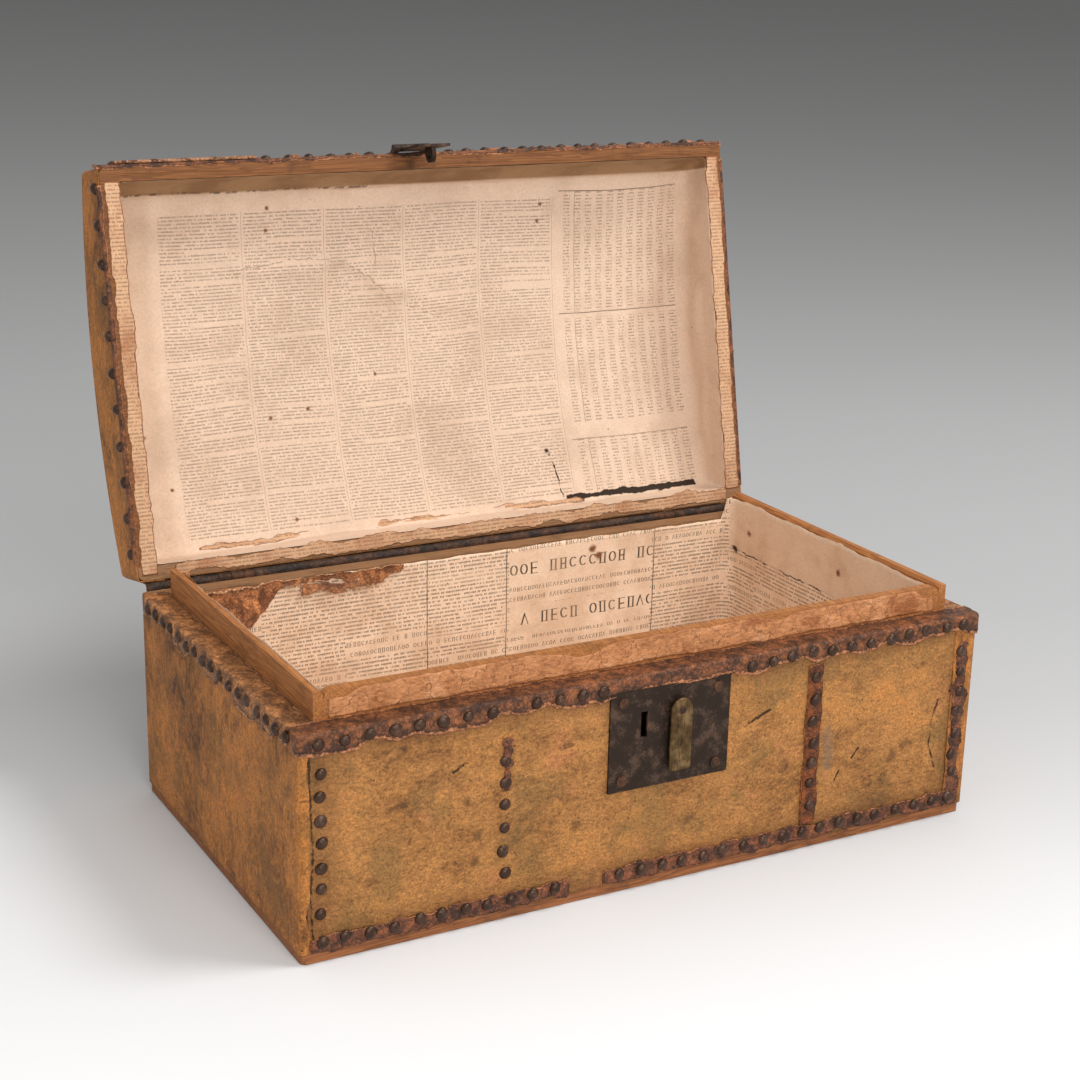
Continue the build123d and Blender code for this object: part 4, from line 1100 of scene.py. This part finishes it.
# %% End sheets
def end_sheet(name, side, seed, node):
    """A sheet carried in plan along a path: from the front, round the corner, along the end, round the back corner.
    Its edges wander and curl a little over the front and back sheets."""
    outer = half_length + 1.0 * mm
    front_wrap = 233.8 * mm if side < 0 else hide_wrap
    plan = Path([(front_wrap, -hide_face), (outer, -hide_face), (outer, hide_face), (hide_wrap, hide_face)], 3.6 * mm)
    s, z = np.meshgrid(steps(0, plan.length, 2.2 * mm), steps(base_top, sheet_top, 2.2 * mm))
    rough = swelling(along(z), (seed, 12, 60, 0.9), (seed + 1, 4, 9, 0.25)) * mm
    edge = s / plan.length
    s = s + rough * (ease(edge, 0.04, 0.0) - ease(edge, 0.96, 1.0))
    s = np.clip(s, 0, plan.length)
    x, y = plan.at(s)
    swell = swelling(along(x, y, z), (seed + 2, 30, 130, 0.42), (seed + 3, 9, 30, 0.1)) + 0.45
    room = ease(np.abs(y), 131 * mm, 112 * mm) * ease(z, base_top, 20 * mm) * ease(z, 141 * mm, 122 * mm)
    curl = swelling(along(z), (seed + 4, 20, 70, 0.35)) + 0.55
    curl = curl * (ease(edge, 0.022, 0.0) + ease(edge, 0.978, 1.0))
    lap = 0.35 * ease(x, outer - 4 * mm, seam_x)
    lift = (np.clip(swell, 0, 2.2) * room + lap + np.clip(curl, 0, 1)) * mm
    x, y = plan.at(s, lift)
    grid_piece(name, along(side * x, y, z), (side, 0, 0), "case", end_hide_finish, [node], hide_thick)


end_sheet("left_end_sheet", -1, 21, "left_end_hide")
end_sheet("right_end_sheet", 1, 31, "right_end_hide")

# %% [markdown]
# ## Strips of leather
#
# Each binding is one strip of leather, nailed down the middle, with two torn edges. It is made as a grid with a
# length and a width. The two edges wander as sums of waves, the leather lifts a little along them, and a function
# of the strip's own two distances gives its place on the trunk, so that a strip may fold over an edge.


# %% A strip with torn edges
def torn_strip(
    name, seed, ends, low, high, place, outward, body, finish, nodes=(), seats=None,
    ragged=0.9 * mm, lift=0.6 * mm, columns=12, thick=1.0 * mm, slot="binding_leather", shut=None,
):
    """s runs along the strip and d across it, from the low edge to the high edge. Both edges wander by ragged times
    a sum of waves. The lift grows with (2t - 1)⁴ towards the edges, where t runs from 0 to 1 across the strip.
    place(s, d, lift) gives the points, and shut(s, d) their place in X and Y on the shut lid."""
    s = steps(*ends, 1.6 * mm)
    wander = (seed, 8, 45, 1.0), (seed + 1, 2.5, 7, 0.4)
    edge = [ragged * swelling(along(s, k), *wander) for k in (0, 0.7)]
    low, high = (low(s) if callable(low) else low) + edge[0], (high(s) if callable(high) else high) - edge[1]
    t = np.linspace(0, 1, columns)[:, None]
    d = low + (high - low) * t
    rim = np.abs(2 * t - 1) ** 4
    ends_rim = ease(s, ends[0] + 2.5 * mm, ends[0]) + ease(s, ends[1] - 2.5 * mm, ends[1])
    curl = np.clip(swelling(along(s, t), (seed + 2, 7, 30, 0.6)) + 0.4, 0, 1.6)
    swell = np.clip(swelling(along(s, t * 20 * mm), (seed + 3, 8, 25, 0.25)) + 0.25, 0, 1)
    height = lift * (curl * rim + 0.5 * swell)
    s = np.broadcast_to(s, d.shape)
    if seats is not None:
        height = height * (0.25 + 0.75 * pinned(place(s, d, np.zeros(d.shape)), seats, 6 * mm))
    wear = np.clip(rim + ends_rim, 0, 1)
    points = place(s, d, height)
    piece = grid_piece(name, points, outward, body, finish, nodes, thick, wear)
    if shut:
        keep_shut(piece, along(*shut(s, d)))
    return piece


def on_front(s, d, lift):
    """A place on the front: s along X, d up, lift towards the viewer."""
    return along(s, -leather_face - lift, d)


def up_front(s, d, lift):
    """As on_front, for a strip that runs up the case."""
    return along(d, -leather_face - lift, s)


front = {"outward": (0, -1, 0), "body": "case", "seats": front_seats[0]}
low = {"low": 7.2 * mm, "high": 17 * mm, "place": on_front, "finish": leather["bottom leather"], **front}
torn_strip("bottom_strip_left", 41, (-234 * mm, -66 * mm), nodes=["front_bottom_binding"], **low)
torn_strip("bottom_strip_right", 42, (-42 * mm, 234 * mm), **low)
for name, seed, bottom, top, left, right, finish, nodes, ragged, lift in (
    ("left_strap_rest", 43, 84, 117, -112.8, -107.4, "bottom leather", [], 1.3, 0.6),
    ("right_strap_leather", 45, 17, 127, 104.2, 115.7, "strap leather", ["front_right_strap"], 0.35, 0.3),
    ("right_seam_leather", 49, 17, 124, 223.2, 232.5, "bottom leather", ["front_right_seam_strip"], 1.1, 0.6),
):
    torn_strip(
        name, seed, (bottom * mm, top * mm), left * mm, right * mm, up_front,
        finish=leather[finish], nodes=nodes, ragged=ragged * mm, lift=lift * mm, **front,
    )

# %% Top binding
pressed = ledge_top - 0.75 * mm
ledge = Path([(-119.6 * mm, pressed), (-leather_face, pressed), (-leather_face, 118 * mm)], 2.2 * mm)
corner_plan = Path([(0, 0), (half_length + 1.8 * mm, 0), (half_length + 1.8 * mm, 40 * mm)], 3 * mm)


def beside_hasp(s):
    """1, but near 0.1 where the hasp lies on the leather."""
    return 1 - 0.9 * np.exp(-(((s + 17 * mm) / (24 * mm)) ** 8))


def over_front_edge(s, d, lift):
    """d runs from the lip out over the ledge and down the front. Past a corner the strip turns round on to the end,
    fully at the front face and not at all at the lip. On the ledge, where the lid rests, it is pressed flat."""
    y, z = ledge.at(d, lift * (0.2 + 0.8 * ease(d, 19 * mm, 26 * mm)) * beside_hasp(s))
    x, back = corner_plan.at(np.abs(s))
    return along(np.sign(s) * x, y + back * np.clip((-120 * mm - y) / (17 * mm), 0, 1), z)


def hanging(seed, least, most):
    """The length of the leather that is left at each place: a wave between the least and the most."""
    wave = waves(seed, 14 * mm, 60 * mm, 30)
    return lambda s: least + (most - least) * (0.5 + 0.5 * np.tanh(wave(along(s))))


def top_low(s):
    """The leather hangs to a wavy line, but ends straight above the lock plate."""
    length = hanging(53, 25.6 * mm, 30.5 * mm)(s)
    plate = ease(s, -48 * mm, -43 * mm) * ease(s, 51 * mm, 46 * mm)
    return length * (1 - plate) + 26.5 * mm * plate


torn_strip(
    "top_binding_leather", 53, (-249 * mm, 249 * mm), 0.0, top_low, over_front_edge, (0, -1, 1), "case",
    leather["binding leather"], ["front_top_binding"], front_seats[0], ragged=0.7 * mm, lift=0.9 * mm, columns=34,
)


# %% End bindings
def end_binding(name, side, seed, nodes):
    """The ledge along an end: from the lip out over the edge and down to the row of nails."""
    out = half_length + 2.2 * mm
    edge = Path([(223.6 * mm, pressed), (out, pressed), (out, 118 * mm)], 2.2 * mm)

    def place(s, d, lift):
        x, z = edge.at(d, lift * (0.2 + 0.8 * ease(d, 13 * mm, 20 * mm)))
        return along(side * x, s, z)

    torn_strip(
        name, seed, (-121 * mm, 130 * mm), 0.0, hanging(seed, 26 * mm, 34 * mm), place, (side, 0, 1), "case",
        leather["ledge leather"], nodes, end_seats[0], ragged=1.0 * mm, lift=1.2 * mm, columns=34,
    )


end_binding("left_ledge_leather", -1, 61, ["end_top_bindings"])
end_binding("right_ledge_leather", 1, 65, [])

# %% [markdown]
# ## The paper in the case and the lid
#
# Paper was pasted into both boxes, and it bridges the inner corners in a round sweep. One formula makes both: a
# square grid is read as rings of squares. The inner rings are the flat bottom, the next ones bend through a quarter
# circle, and the last ones climb the walls. Each ring is a rectangle with rounded corners.


# %% A tray of paper
def rings_of(flat, bend, wall):
    """Each grid point's ring from 0 at the middle to 1, split into the parts of flat, bend and wall, and its place
    (p, q) round a square from -1 to 1."""
    half = flat + bend + wall
    line = np.arange(-half, half + 1)
    s, t = np.meshgrid(line, line)
    ring = np.maximum(np.abs(s), np.abs(t))
    safe = np.maximum(ring, 1)
    parts = ring / flat, (ring - flat) / bend, (ring - flat - bend) / wall
    return s / safe, t / safe, *np.clip(parts, 0, 1)


def round_corners(x, y, half_x, half_y, radius):
    """A place on a rectangle's outline is drawn in to the arc of its rounded corner."""
    core_x, core_y = half_x - radius, half_y - radius
    dx, dy = np.maximum(np.abs(x) - core_x, 0), np.maximum(np.abs(y) - core_y, 0)
    far = np.hypot(dx, dy)
    inside = (dx > 0) & (dy > 0)
    shrink = np.where(inside, radius * np.maximum(dx, dy) / np.maximum(radius, 1e-9) / np.maximum(far, 1e-9), 1.0)
    x = np.sign(x) * (np.minimum(np.abs(x), core_x) + dx * shrink)
    return x, np.sign(y) * (np.minimum(np.abs(y), core_y) + dy * shrink)


def normals_of(points, towards):
    """The direction of each point's surface: the cross product of the differences along rows and columns."""
    normal = np.cross(np.gradient(points, axis=0), np.gradient(points, axis=1))
    normal /= np.maximum(np.linalg.norm(normal, axis=-1, keepdims=True), 1e-12)
    return normal * np.sign((normal @ np.array(towards, float)).sum() or 1)


def tray(half_x, half_y, bottom, rim, bends, corners, counts, up, lean=0.0):
    """The rings of a tray. bottom(x, y) is the height of its flat part and rim(x, y) that of its open edge. bends
    are the bends' radii at the left, right, front and back, and corners the corners' radii at the bottom and rim.
    The front wall leans in by lean at the bottom, less and less towards the rim: by its height squared."""
    p, q, k, bend, wall = rings_of(*counts)
    weight = np.abs(p) ** 8 / (np.abs(p) ** 8 + np.abs(q) ** 8 + 1e-9)
    radius = np.where(p < 0, bends[0], bends[1]) * weight + np.where(q < 0, bends[2], bends[3]) * (1 - weight)
    out = radius * np.sin(bend * math.pi / 2)
    slope = lean * (1 - weight) * (q < 0)
    size_x = (half_x - radius) * k + out
    size_y = (half_y - radius - slope) * k + out + slope * (1 - (1 - wall) ** 2)
    corner = corners[0] * k * (1 - wall) + corners[1] * wall + 1e-6
    x, y = round_corners(p * size_x, q * size_y, size_x, size_y, np.minimum(corner, size_y * 0.9 + 1e-6))
    high = bottom(x, y) + up * radius * (1 - np.cos(bend * math.pi / 2))
    return along(x, y, high + (rim(x, y) - high) * wall)


print("Trays are ready")

# %% The lid's paper
def ceiling(x, y):
    """The boards' inner side, a part of a cylinder, less the paper's thickness."""
    return dome_centre + np.sqrt((435.4 * mm) ** 2 - y**2) - 0.7 * mm


def lid_rim(x, y):
    """The paper ends level with the lid's rim."""
    return rim_plane + 0.1 * mm


bends = (12 * mm, 15 * mm, 2.5 * mm, 3.5 * mm)
shut = tray(226.4 * mm, 125.4 * mm, ceiling, lid_rim, bends, (8 * mm, 2 * mm), (56, 10, 16), -1, 7.5 * mm)
face = normals_of(shut, (0, 0, -1))
creases = (
    (1.8, (-133, -65), (-62, -69), 5, 4),
    (1.6, (-62, -69), (-17, -33), 3, -4),
    (1.6, (-30, -52), (20, -30), 6, 0),
    (1.4, (-190, -20), (-70, -60), 9, 6),
    (1.8, (150, 10), (215, -60), 8, 6),
)
puff = folded(swelling(shut, (71, 40, 160, 0.55), (72, 10, 40, 0.16)) + 0.9, shut[..., :2], *creases)
room = ease(shut[..., 2], 157 * mm, 168 * mm) * 0.85 + 0.1
shut = shut + face * (np.clip(puff, 0, 3.5) * room * mm)[..., None]
down = turned((0, 0, -1))
sheet = grid_piece("lid_paper", opened(shut), down, "lid", lid_paper_finish, ["lid_lining"], 0.2 * mm)
keep_shut(sheet, shut)


# %% Paper on the lid's rim
def on_end_rim(side):
    """s runs along Y and d out from the opening, just over the wood."""
    return lambda s, d, lift: opened(along(side * d, s, rim_plane - 0.05 * mm - lift))


def on_back_rim(s, d, lift):
    """s runs along X and d back from the opening."""
    return opened(along(s, d, rim_plane - 0.05 * mm - lift))


def rim_strip(name, seed, start, end, low, high, place, shut, ragged, lift=0.08, thick=0.1, columns=10):
    """A strip of paper on the lid's rim. Its measures are in millimetres."""
    torn_strip(
        name, seed, (start * mm, end * mm), low * mm, high * mm, place, down, "lid", rim_paper_finish,
        ragged=ragged * mm, lift=lift * mm, thick=thick * mm, columns=columns, slot="paper", shut=shut,
    )


def at_crease(s, d, lift):
    """d runs along the ceiling towards the back wall."""
    return opened(along(s, d, ceiling(s, d) - 0.9 * mm - lift))


rim_strip("left_rim_paper", 131, -126, 132, 226.2, 236.4, on_end_rim(-1), lambda s, d: (-d, s), 0.5)
rim_strip("right_rim_paper", 135, -126, 126, 226.2, 237.6, on_end_rim(1), lambda s, d: (d, s), 0.5)
rim_strip("back_rim_paper", 139, -214, 226.5, 125.2, 133.6, on_back_rim, lambda s, d: (s, d), 0.9)
rim_strip("lid_torn_edge", 143, -186, 118, 120.5, 124.3, at_crease, lambda s, d: (s, d), 0.8, 0.6, 0.15, 8)


# %% The case's paper
def case_floor(x, y):
    """The base board's top and the paper's thickness."""
    return base_top + 0.6 * mm


def case_rim(x, y):
    """The paper ends just under the top of the lips, and at the back under the top of the board."""
    ragged = swelling(along(x, y), (75, 6, 40, 0.35)) * mm
    return np.where(y > 117 * mm, 140.0 * mm, 156.6 * mm) + ragged


shut = tray(217.4 * mm, 117.4 * mm, case_floor, case_rim, (5 * mm,) * 4, (12 * mm, 9 * mm), (34, 5, 45), 1)
face = normals_of(shut, (0, 0, 1))
puff = swelling(shut, (76, 40, 140, 0.4), (77, 8, 30, 0.14)) + 0.5
shut = shut + face * (np.clip(puff, 0, 2) * mm)[..., None] + np.array([0, 4 * mm, 0])
sheet = grid_piece("case_paper", shut, (0, 0, 1), "case", case_paper_finish, ["case_lining"], 0.2 * mm)
keep_shut(sheet, shut)

# %% [markdown]
# ## Torn places
#
# At the left of the back wall the paper has come away and the rough brown leather of the hinge shows, with a torn
# end that leans into the box. Another skin is left on the outside of the front lip. Both are strips with very
# uneven edges. A long strip of leather closes the gap behind the lid. It crosses the hinge, so it is loosed from
# both bodies and stays where it is drawn for the open lid.

# %% Leather at the back of the case
def patch_low(x):
    """The torn patch reaches far down at the left corner, and again in a smaller round lobe further right: a
    smooth step less a bell curve."""
    step = 30 * ease(x, -178 * mm, -143 * mm) - 9 * np.exp(-(((x + 84 * mm) / (16 * mm)) ** 2))
    return (107 + step + swelling(along(x), (151, 5, 30, 1.0))) * mm


def on_back_wall(s, d, lift):
    return along(s, 119.5 * mm - lift, d)


def hanging_end(s, d, lift):
    """A torn end that leans out into the box, most at its right end."""
    out = ease(s, -132 * mm, -92 * mm) * 3 * mm
    return along(s, 118.6 * mm - lift - out - (134 * mm - d) * 0.3, d - out * 0.25)


wall = {"outward": (0, -1, 0), "body": "case", "finish": leather["torn leather"]}
torn_strip(
    "torn_patch", 152, (-216 * mm, -57 * mm), patch_low, 140.3 * mm, on_back_wall,
    ragged=0.8 * mm, lift=1.3 * mm, columns=22, thick=0.7 * mm, **wall,
)
torn_strip(
    "torn_end_0", 160, (-134 * mm, -92 * mm), 129.5 * mm, 136 * mm, hanging_end,
    ragged=0.9 * mm, lift=0.6 * mm, columns=7, thick=0.35 * mm, **wall,
)


# %% Skin on the front lip
def skin_top(s):
    """The skin reaches almost to the top of the lip, but has torn off to the wood at both ends and in two places
    between them."""
    lost = ease(s, -190 * mm, -206 * mm) * 0.5 + ease(s, 196 * mm, 208 * mm) * 0.6
    for deep, middle, half_width in ((0.5, -48 * mm, 16 * mm), (0.35, 92 * mm, 11 * mm)):
        lost = lost + deep * np.exp(-(((s - middle) / half_width) ** 2))
    return (158.4 - 11 * np.clip(lost, 0, 1) + swelling(along(s), (171, 9, 60, 0.45))) * mm


def on_lip(s, d, lift):
    return along(s, -120.1 * mm - lift, d)


torn_strip(
    "lip_skin", 172, (-215 * mm, 214 * mm), 142.5 * mm, skin_top, on_lip, (0, -1, 0), "case", skin_finish,
    ragged=0.35 * mm, lift=0.25 * mm, columns=14, thick=0.25 * mm,
)

# %% Leather behind the hinge
hinge_bend, below_hinge = 3.3 * mm, 9 * mm
barrel_start, barrel_end, leather_end = 160.2 * mm, 184.8 * mm, 236 * mm
first_turn, last_turn = math.radians(191), math.radians(67)


def round_hinge(s, d, lift):
    """d runs up the case's back, round the hinge's line, and on along the lid's open back. The leather lies on the
    hinge's barrel, and lifts only beside it."""
    angle = first_turn - (d - below_hinge) / hinge_bend
    turn = np.clip(angle, last_turn, first_turn)
    off_barrel = np.minimum(np.abs(np.abs(s) - barrel_start), np.abs(np.abs(s) - barrel_end))
    radius = hinge_bend + lift * np.clip(off_barrel / (8 * mm), 0, 1)
    past = np.maximum(last_turn - angle, 0) * hinge_bend
    y = hinge_y + radius * np.cos(turn) + past * math.sin(open_angle)
    z = hinge_z + radius * np.sin(turn) + np.minimum(d - below_hinge, 0) + past * math.cos(open_angle)
    return along(s, y, z)


middle, left, right = (-barrel_start, barrel_start), (-leather_end, -barrel_end), (barrel_end, leather_end)
for name, ends in (("middle", middle), ("left", left), ("right", right)):
    strip = torn_strip(
        "hinge_leather_" + name, 181, ends, 0.0, 25 * mm, round_hinge, (0, 1, 1), "case",
        leather["hinge leather"], ragged=0.6 * mm, lift=0.3 * mm, columns=40, thick=0.3 * mm,
    )
    strip.parent = None
    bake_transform(strip)

# %% [markdown]
# ## The lid's cover
#
# One hide goes from the lid's front over the dome to its back, and two more close the ends. The section of the lid
# is a path: up the front, along the arc of the dome, down the back.


# %% Lid section
def lid_section(grow):
    """The lid's outline in Y and Z, moved out by grow: front wall, arc and back wall."""
    radius, half = dome_radius + grow, half_depth + grow
    turn = math.asin(half / radius)
    top = [(radius * math.sin(a), dome_centre + radius * math.cos(a)) for a in np.linspace(-turn, turn, 60)]
    return Path([(-half, rim_plane + 0.3 * mm), *top, (half, rim_plane + 0.3 * mm)], 3.5 * mm, side=-1)


section = lid_section(1.0 * mm)
print("The lid's cover is", round(section.length / mm), "mm long from rim to rim")

# %% Dome sheet
x, s = np.meshgrid(steps(-229 * mm, 229 * mm, 2.6 * mm), steps(0, section.length, 2.6 * mm))
y, z = section.at(s)
place = along(x, y, z)
open_seats = np.concatenate([dome_seats[0], lid_front_seats[0]])
swell = swelling(place, (81, 30, 120, 0.35), (82, 9, 28, 0.1)) + 0.5
room = pinned(opened(place), open_seats) * ease(np.abs(x), seam_x, 217 * mm)
room = room * ease(s, 10 * mm, 26 * mm) * ease(s, section.length - 34 * mm, section.length - 50 * mm)
y, z = section.at(s, np.clip(swell, 0, 2) * room * mm)
up, points = turned((0, 0, 1)), opened(along(x, y, z))
grid_piece("dome_sheet", points, up, "lid", lid_hide_finish, ["lid_hide"], hide_thick)


# %% Lid end sheets
def lid_end_sheet(name, side, seed, node):
    """Rings round the lid's outline: the first lies on the dome, the next turn round the edge, and the rest shrink
    towards the middle of the end's rim."""
    face_x, rings = half_length + 1 * mm, 26
    s = steps(0, section.length, 2.4 * mm)
    wrap = Path([(hide_wrap, 0), (face_x, 0), (face_x, -3.3 * mm)], 3.2 * mm)
    w = steps(0, wrap.length, 1.8 * mm)
    rough = swelling(along(s), (seed, 12, 50, 0.8), (seed + 1, 4, 9, 0.25)) * mm
    turn = w[:, None] + rough * ease(w, 7 * mm, 0)[:, None]
    x, inward = wrap.at(np.clip(turn, 0, wrap.length))
    curl = np.clip(swelling(along(s), (seed + 2, 20, 60, 0.3)) + 0.5, 0, 1.2)
    lap = (0.3 + curl * ease(w, 5 * mm, 0)[:, None]) * mm * ease(x, half_length - 2 * mm, seam_x)
    y, z = section.at(s, inward + lap)
    hub_z = rim_plane + 0.4 * mm
    k = np.linspace(1, 0, rings)[1:, None]
    points = np.concatenate([along(x, y, z), along(face_x, y[-1] * k, hub_z + (z[-1] - hub_z) * k)])
    swell = np.clip(swelling(points, (seed + 3, 25, 110, 0.4)) + 0.45, 0, 1.8)
    depth = np.concatenate([np.zeros(len(w)), 1 - k[:, 0] ** 6])[:, None]
    points[..., 0] += swell * depth * ease(points[..., 2], rim_plane + 6 * mm, rim_plane + 22 * mm) * mm
    points = opened(points * np.array([side, 1, 1]))
    grid_piece(name, points, (side, 0, 0), "lid", end_hide_finish, [node], hide_thick)


lid_end_sheet("lid_left_sheet", -1, 91, "lid_left_hide")
lid_end_sheet("lid_right_sheet", 1, 95, "lid_right_hide")

# %% Straps over the dome
strap_section = lid_section(2.2 * mm)


def over_dome(s, d, lift):
    """s runs over the dome and d along X."""
    y, z = strap_section.at(s, lift)
    return opened(along(d, y, z))


for side, middle in (("left", -strap_x), ("right", strap_x)):
    torn_strip(
        "dome_%s_leather" % side, 101, (1 * mm, strap_section.length - 1 * mm), middle - 5.7 * mm, middle + 5.7 * mm,
        over_dome, up, "lid", leather["strap leather"], ["dome_%s_strap" % side], dome_seats[0],
        ragged=0.4 * mm, lift=0.3 * mm,
    )

# %% Bindings of the lid's rim
under_rim = rim_plane - 0.15 * mm
front_corners = (-leather_face, rim_plane + 14 * mm), (-leather_face, under_rim), (-134.4 * mm, under_rim)
front_rim = Path(front_corners, 1.8 * mm)


def over_rim(s, d, lift):
    """d runs down the lid's front and in over its rim, where it is pressed flat."""
    y, z = front_rim.at(d, lift * (0.04 + 0.96 * ease(d, 14.5 * mm, 8 * mm)) * beside_hasp(s))
    return opened(along(s, y, z))


def on_lid_front(s, d, lift):
    """d runs up the lid's front from the rim."""
    return opened(along(s, -leather_face - 2.2 * mm - lift, rim_plane + d))


torn_strip(
    "lid_rim_leather", 111, (-240.5 * mm, 240.5 * mm), hanging(112, 0.5 * mm, 6 * mm), front_rim.length, over_rim,
    turned((0, -1, -1)), "lid", leather["binding leather"], ["lid_front_rim_binding"], lid_front_seats[0],
    ragged=0.6 * mm, lift=2.0 * mm, columns=22,
)
torn_strip(
    "lid_loose_strip", 113, (-228 * mm, -131 * mm), 0.6 * mm, 8.5 * mm, on_lid_front, turned((0, -1, 0)), "lid",
    leather["rim strip"], ragged=0.25 * mm, lift=0.2 * mm, columns=8, thick=2 * mm,
)


def lid_end_binding(name, side, seed, nodes):
    """A narrow strip round the edge between the end and the rim."""
    out, under = half_length + 2.2 * mm, rim_plane - 0.1 * mm
    edge = Path([(out, rim_plane + 4.5 * mm), (out, under), (half_length - 0.8 * mm, under)], 1.2 * mm)

    def place(s, d, lift):
        x, z = edge.at(d, lift * (0.1 + 0.9 * ease(d, 5 * mm, 2 * mm)))
        return opened(along(side * x, s, z))

    torn_strip(
        name, seed, (-124 * mm, 124 * mm), 0.5 * mm, edge.length, place, turned((side, 0, -1)), "lid",
        leather["binding leather"], nodes, lid_end_seats[0], ragged=0.5 * mm, columns=14, lift=0.3 * mm,
    )


lid_end_binding("lid_left_rim_leather", -1, 115, ["lid_end_rim_bindings"])
lid_end_binding("lid_right_rim_leather", 1, 119, [])

# %% [markdown]
# ## Finishes for the CAD nodes
#
# Boards, lips, hinges and the lock keep their CAD shapes. Each node's material slots get one of the finishes.

# %% Hand out the finishes
node_finishes = {
    base_pine: ["base_board"],
    lip_pine: ["left_lip", "right_lip", "front_lip"],
    rim_pine: ["lid_left_end", "lid_right_end", "lid_front_board"],
    shaded_pine: ["front_board"],
    board_pine: ["back_board", "left_end_board", "right_end_board", "lid_back_board"]
    + ["dome_board_%d" % number for number in range(1, 6)],
    iron_dark: ["lock_plate", "lock_case", "lock_bolt", "lock_spring"]
    + ["hasp_" + part for part in ("plate", "leaf", "staple", "pin")],
    iron_rusty: ["lock_plate_rivets", "hasp_rivets", "keyhole_cover_pin", "hinge_pins"]
    + [body + "_hinge_screws" for body in ("case", "lid")]
    + [side + body + "_hinge_strap" for side in ("left_", "right_") for body in ("case", "lid")],
    brass: ["keyhole_cover"],
}
for finish, names in node_finishes.items():
    for name in names:
        for material_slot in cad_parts[name].material_slots:
            material_slot.material = finish
print("Finished nodes:", sum(len(names) for names in node_finishes.values()))

# %% [markdown]
# ## Floor, light and camera
#
# The floor is a wide disc. Its grey is painted shade: it follows the distance from the camera and is darker
# towards the back, where the studio's light falls off. A soft lamp at the upper right gives the shape, and a second
# one in front and the world fill the shadows.

# %% Floor
rings = np.array([0, 0.4, 0.8, 1.2, 1.8, 2.6, 4, 7, 12, 30])
radius, turn = np.meshgrid(rings, np.linspace(0, 2 * math.pi, 65)[:-1], indexing="ij")
points = along(radius * np.cos(turn), radius * np.sin(turn), -0.4 * mm)
number = np.arange(radius.size).reshape(radius.shape)
mesh = mesh_of("floor", points, quads(np.concatenate([number, number[:, :1]], axis=1))[:, [0, 3, 2, 1]])
close_doubles(mesh)
floor = in_scene("floor", mesh)
f = Finish("studio floor", Roughness=0.9, Specular_IOR_Level=0.1)
eye_x, eye_y, eye_z = -0.6223, -1.0930, 0.5756
# forward is the distance ahead of the camera, along the floor. near is the eye's height divided by that distance,
# which is the slope of the view there: 0 at a slope of 0.04, near the horizon, and 1 at 0.64.
forward = (f.x - eye_x) * 0.4854 + (f.y - eye_y) * 0.8743
near = (((forward | 0.5) / eye_z) ** -1.0 - 0.04) / 0.6
# Painted shade: the greys darken from near to far, as the studio's light falls off.
painted_shade_greys = (0.163, 0.243, 0.325, 0.385, 0.43, 0.45, 0.46, 0.51, 0.6, 0.7, 0.76, 0.8, 0.82)
stops = [(number / (len(painted_shade_greys) - 1), (grey * 0.98, grey * 0.995, grey * 1.02)) for number, grey in enumerate(painted_shade_greys)]
mesh.materials.append(f.done(f.tones(near, *stops)))

# %% Light
world = bpy.data.worlds.new("studio")
bpy.context.scene.world = world
world.use_nodes = True
background = world.node_tree.nodes["Background"].inputs
background["Color"].default_value, background["Strength"].default_value = (1.0, 0.98, 0.95, 1), 0.64


def lamp(name, place, aim, size, power):
    """A round lamp with a size across in metres and a power in watts, turned to face a place."""
    light = bpy.data.lights.new(name, "AREA")
    light.shape, light.size, light.energy, light.color = "DISK", size, power, (1.0, 0.98, 0.96)
    piece = in_scene(name, light)
    piece.location = place
    piece.rotation_euler = (Vector(aim) - Vector(place)).to_track_quat("-Z", "Y").to_euler()


lamp("key", (1.2, -0.75, 2.3), (0, 0, 0.15), 1.0, 36)
lamp("fill", (-0.35, -2.3, 1.5), (0, 0, 0.2), 1.4, 33)

# %% Camera
eye, target, roll, lens = Vector((eye_x, eye_y, eye_z)), Vector((-0.0155, 0.0, 0.1865)), math.radians(1.342), 67.333
forward = (target - eye).normalized()
right = forward.cross(Vector((0, 0, 1))).normalized()
up = right.cross(forward)
across = math.cos(roll) * right + math.sin(roll) * up
above = math.cos(roll) * up - math.sin(roll) * right
camera = in_scene("camera", bpy.data.cameras.new("camera"))
camera.data.lens, camera.data.sensor_width = lens, 36
camera.matrix_world = Matrix([[across[k], above[k], -forward[k], eye[k]] for k in range(3)] + [[0, 0, 0, 1]])
bpy.context.scene.camera = camera
bpy.context.scene.view_settings.view_transform = "Standard"
print("Camera lens", lens, "mm")
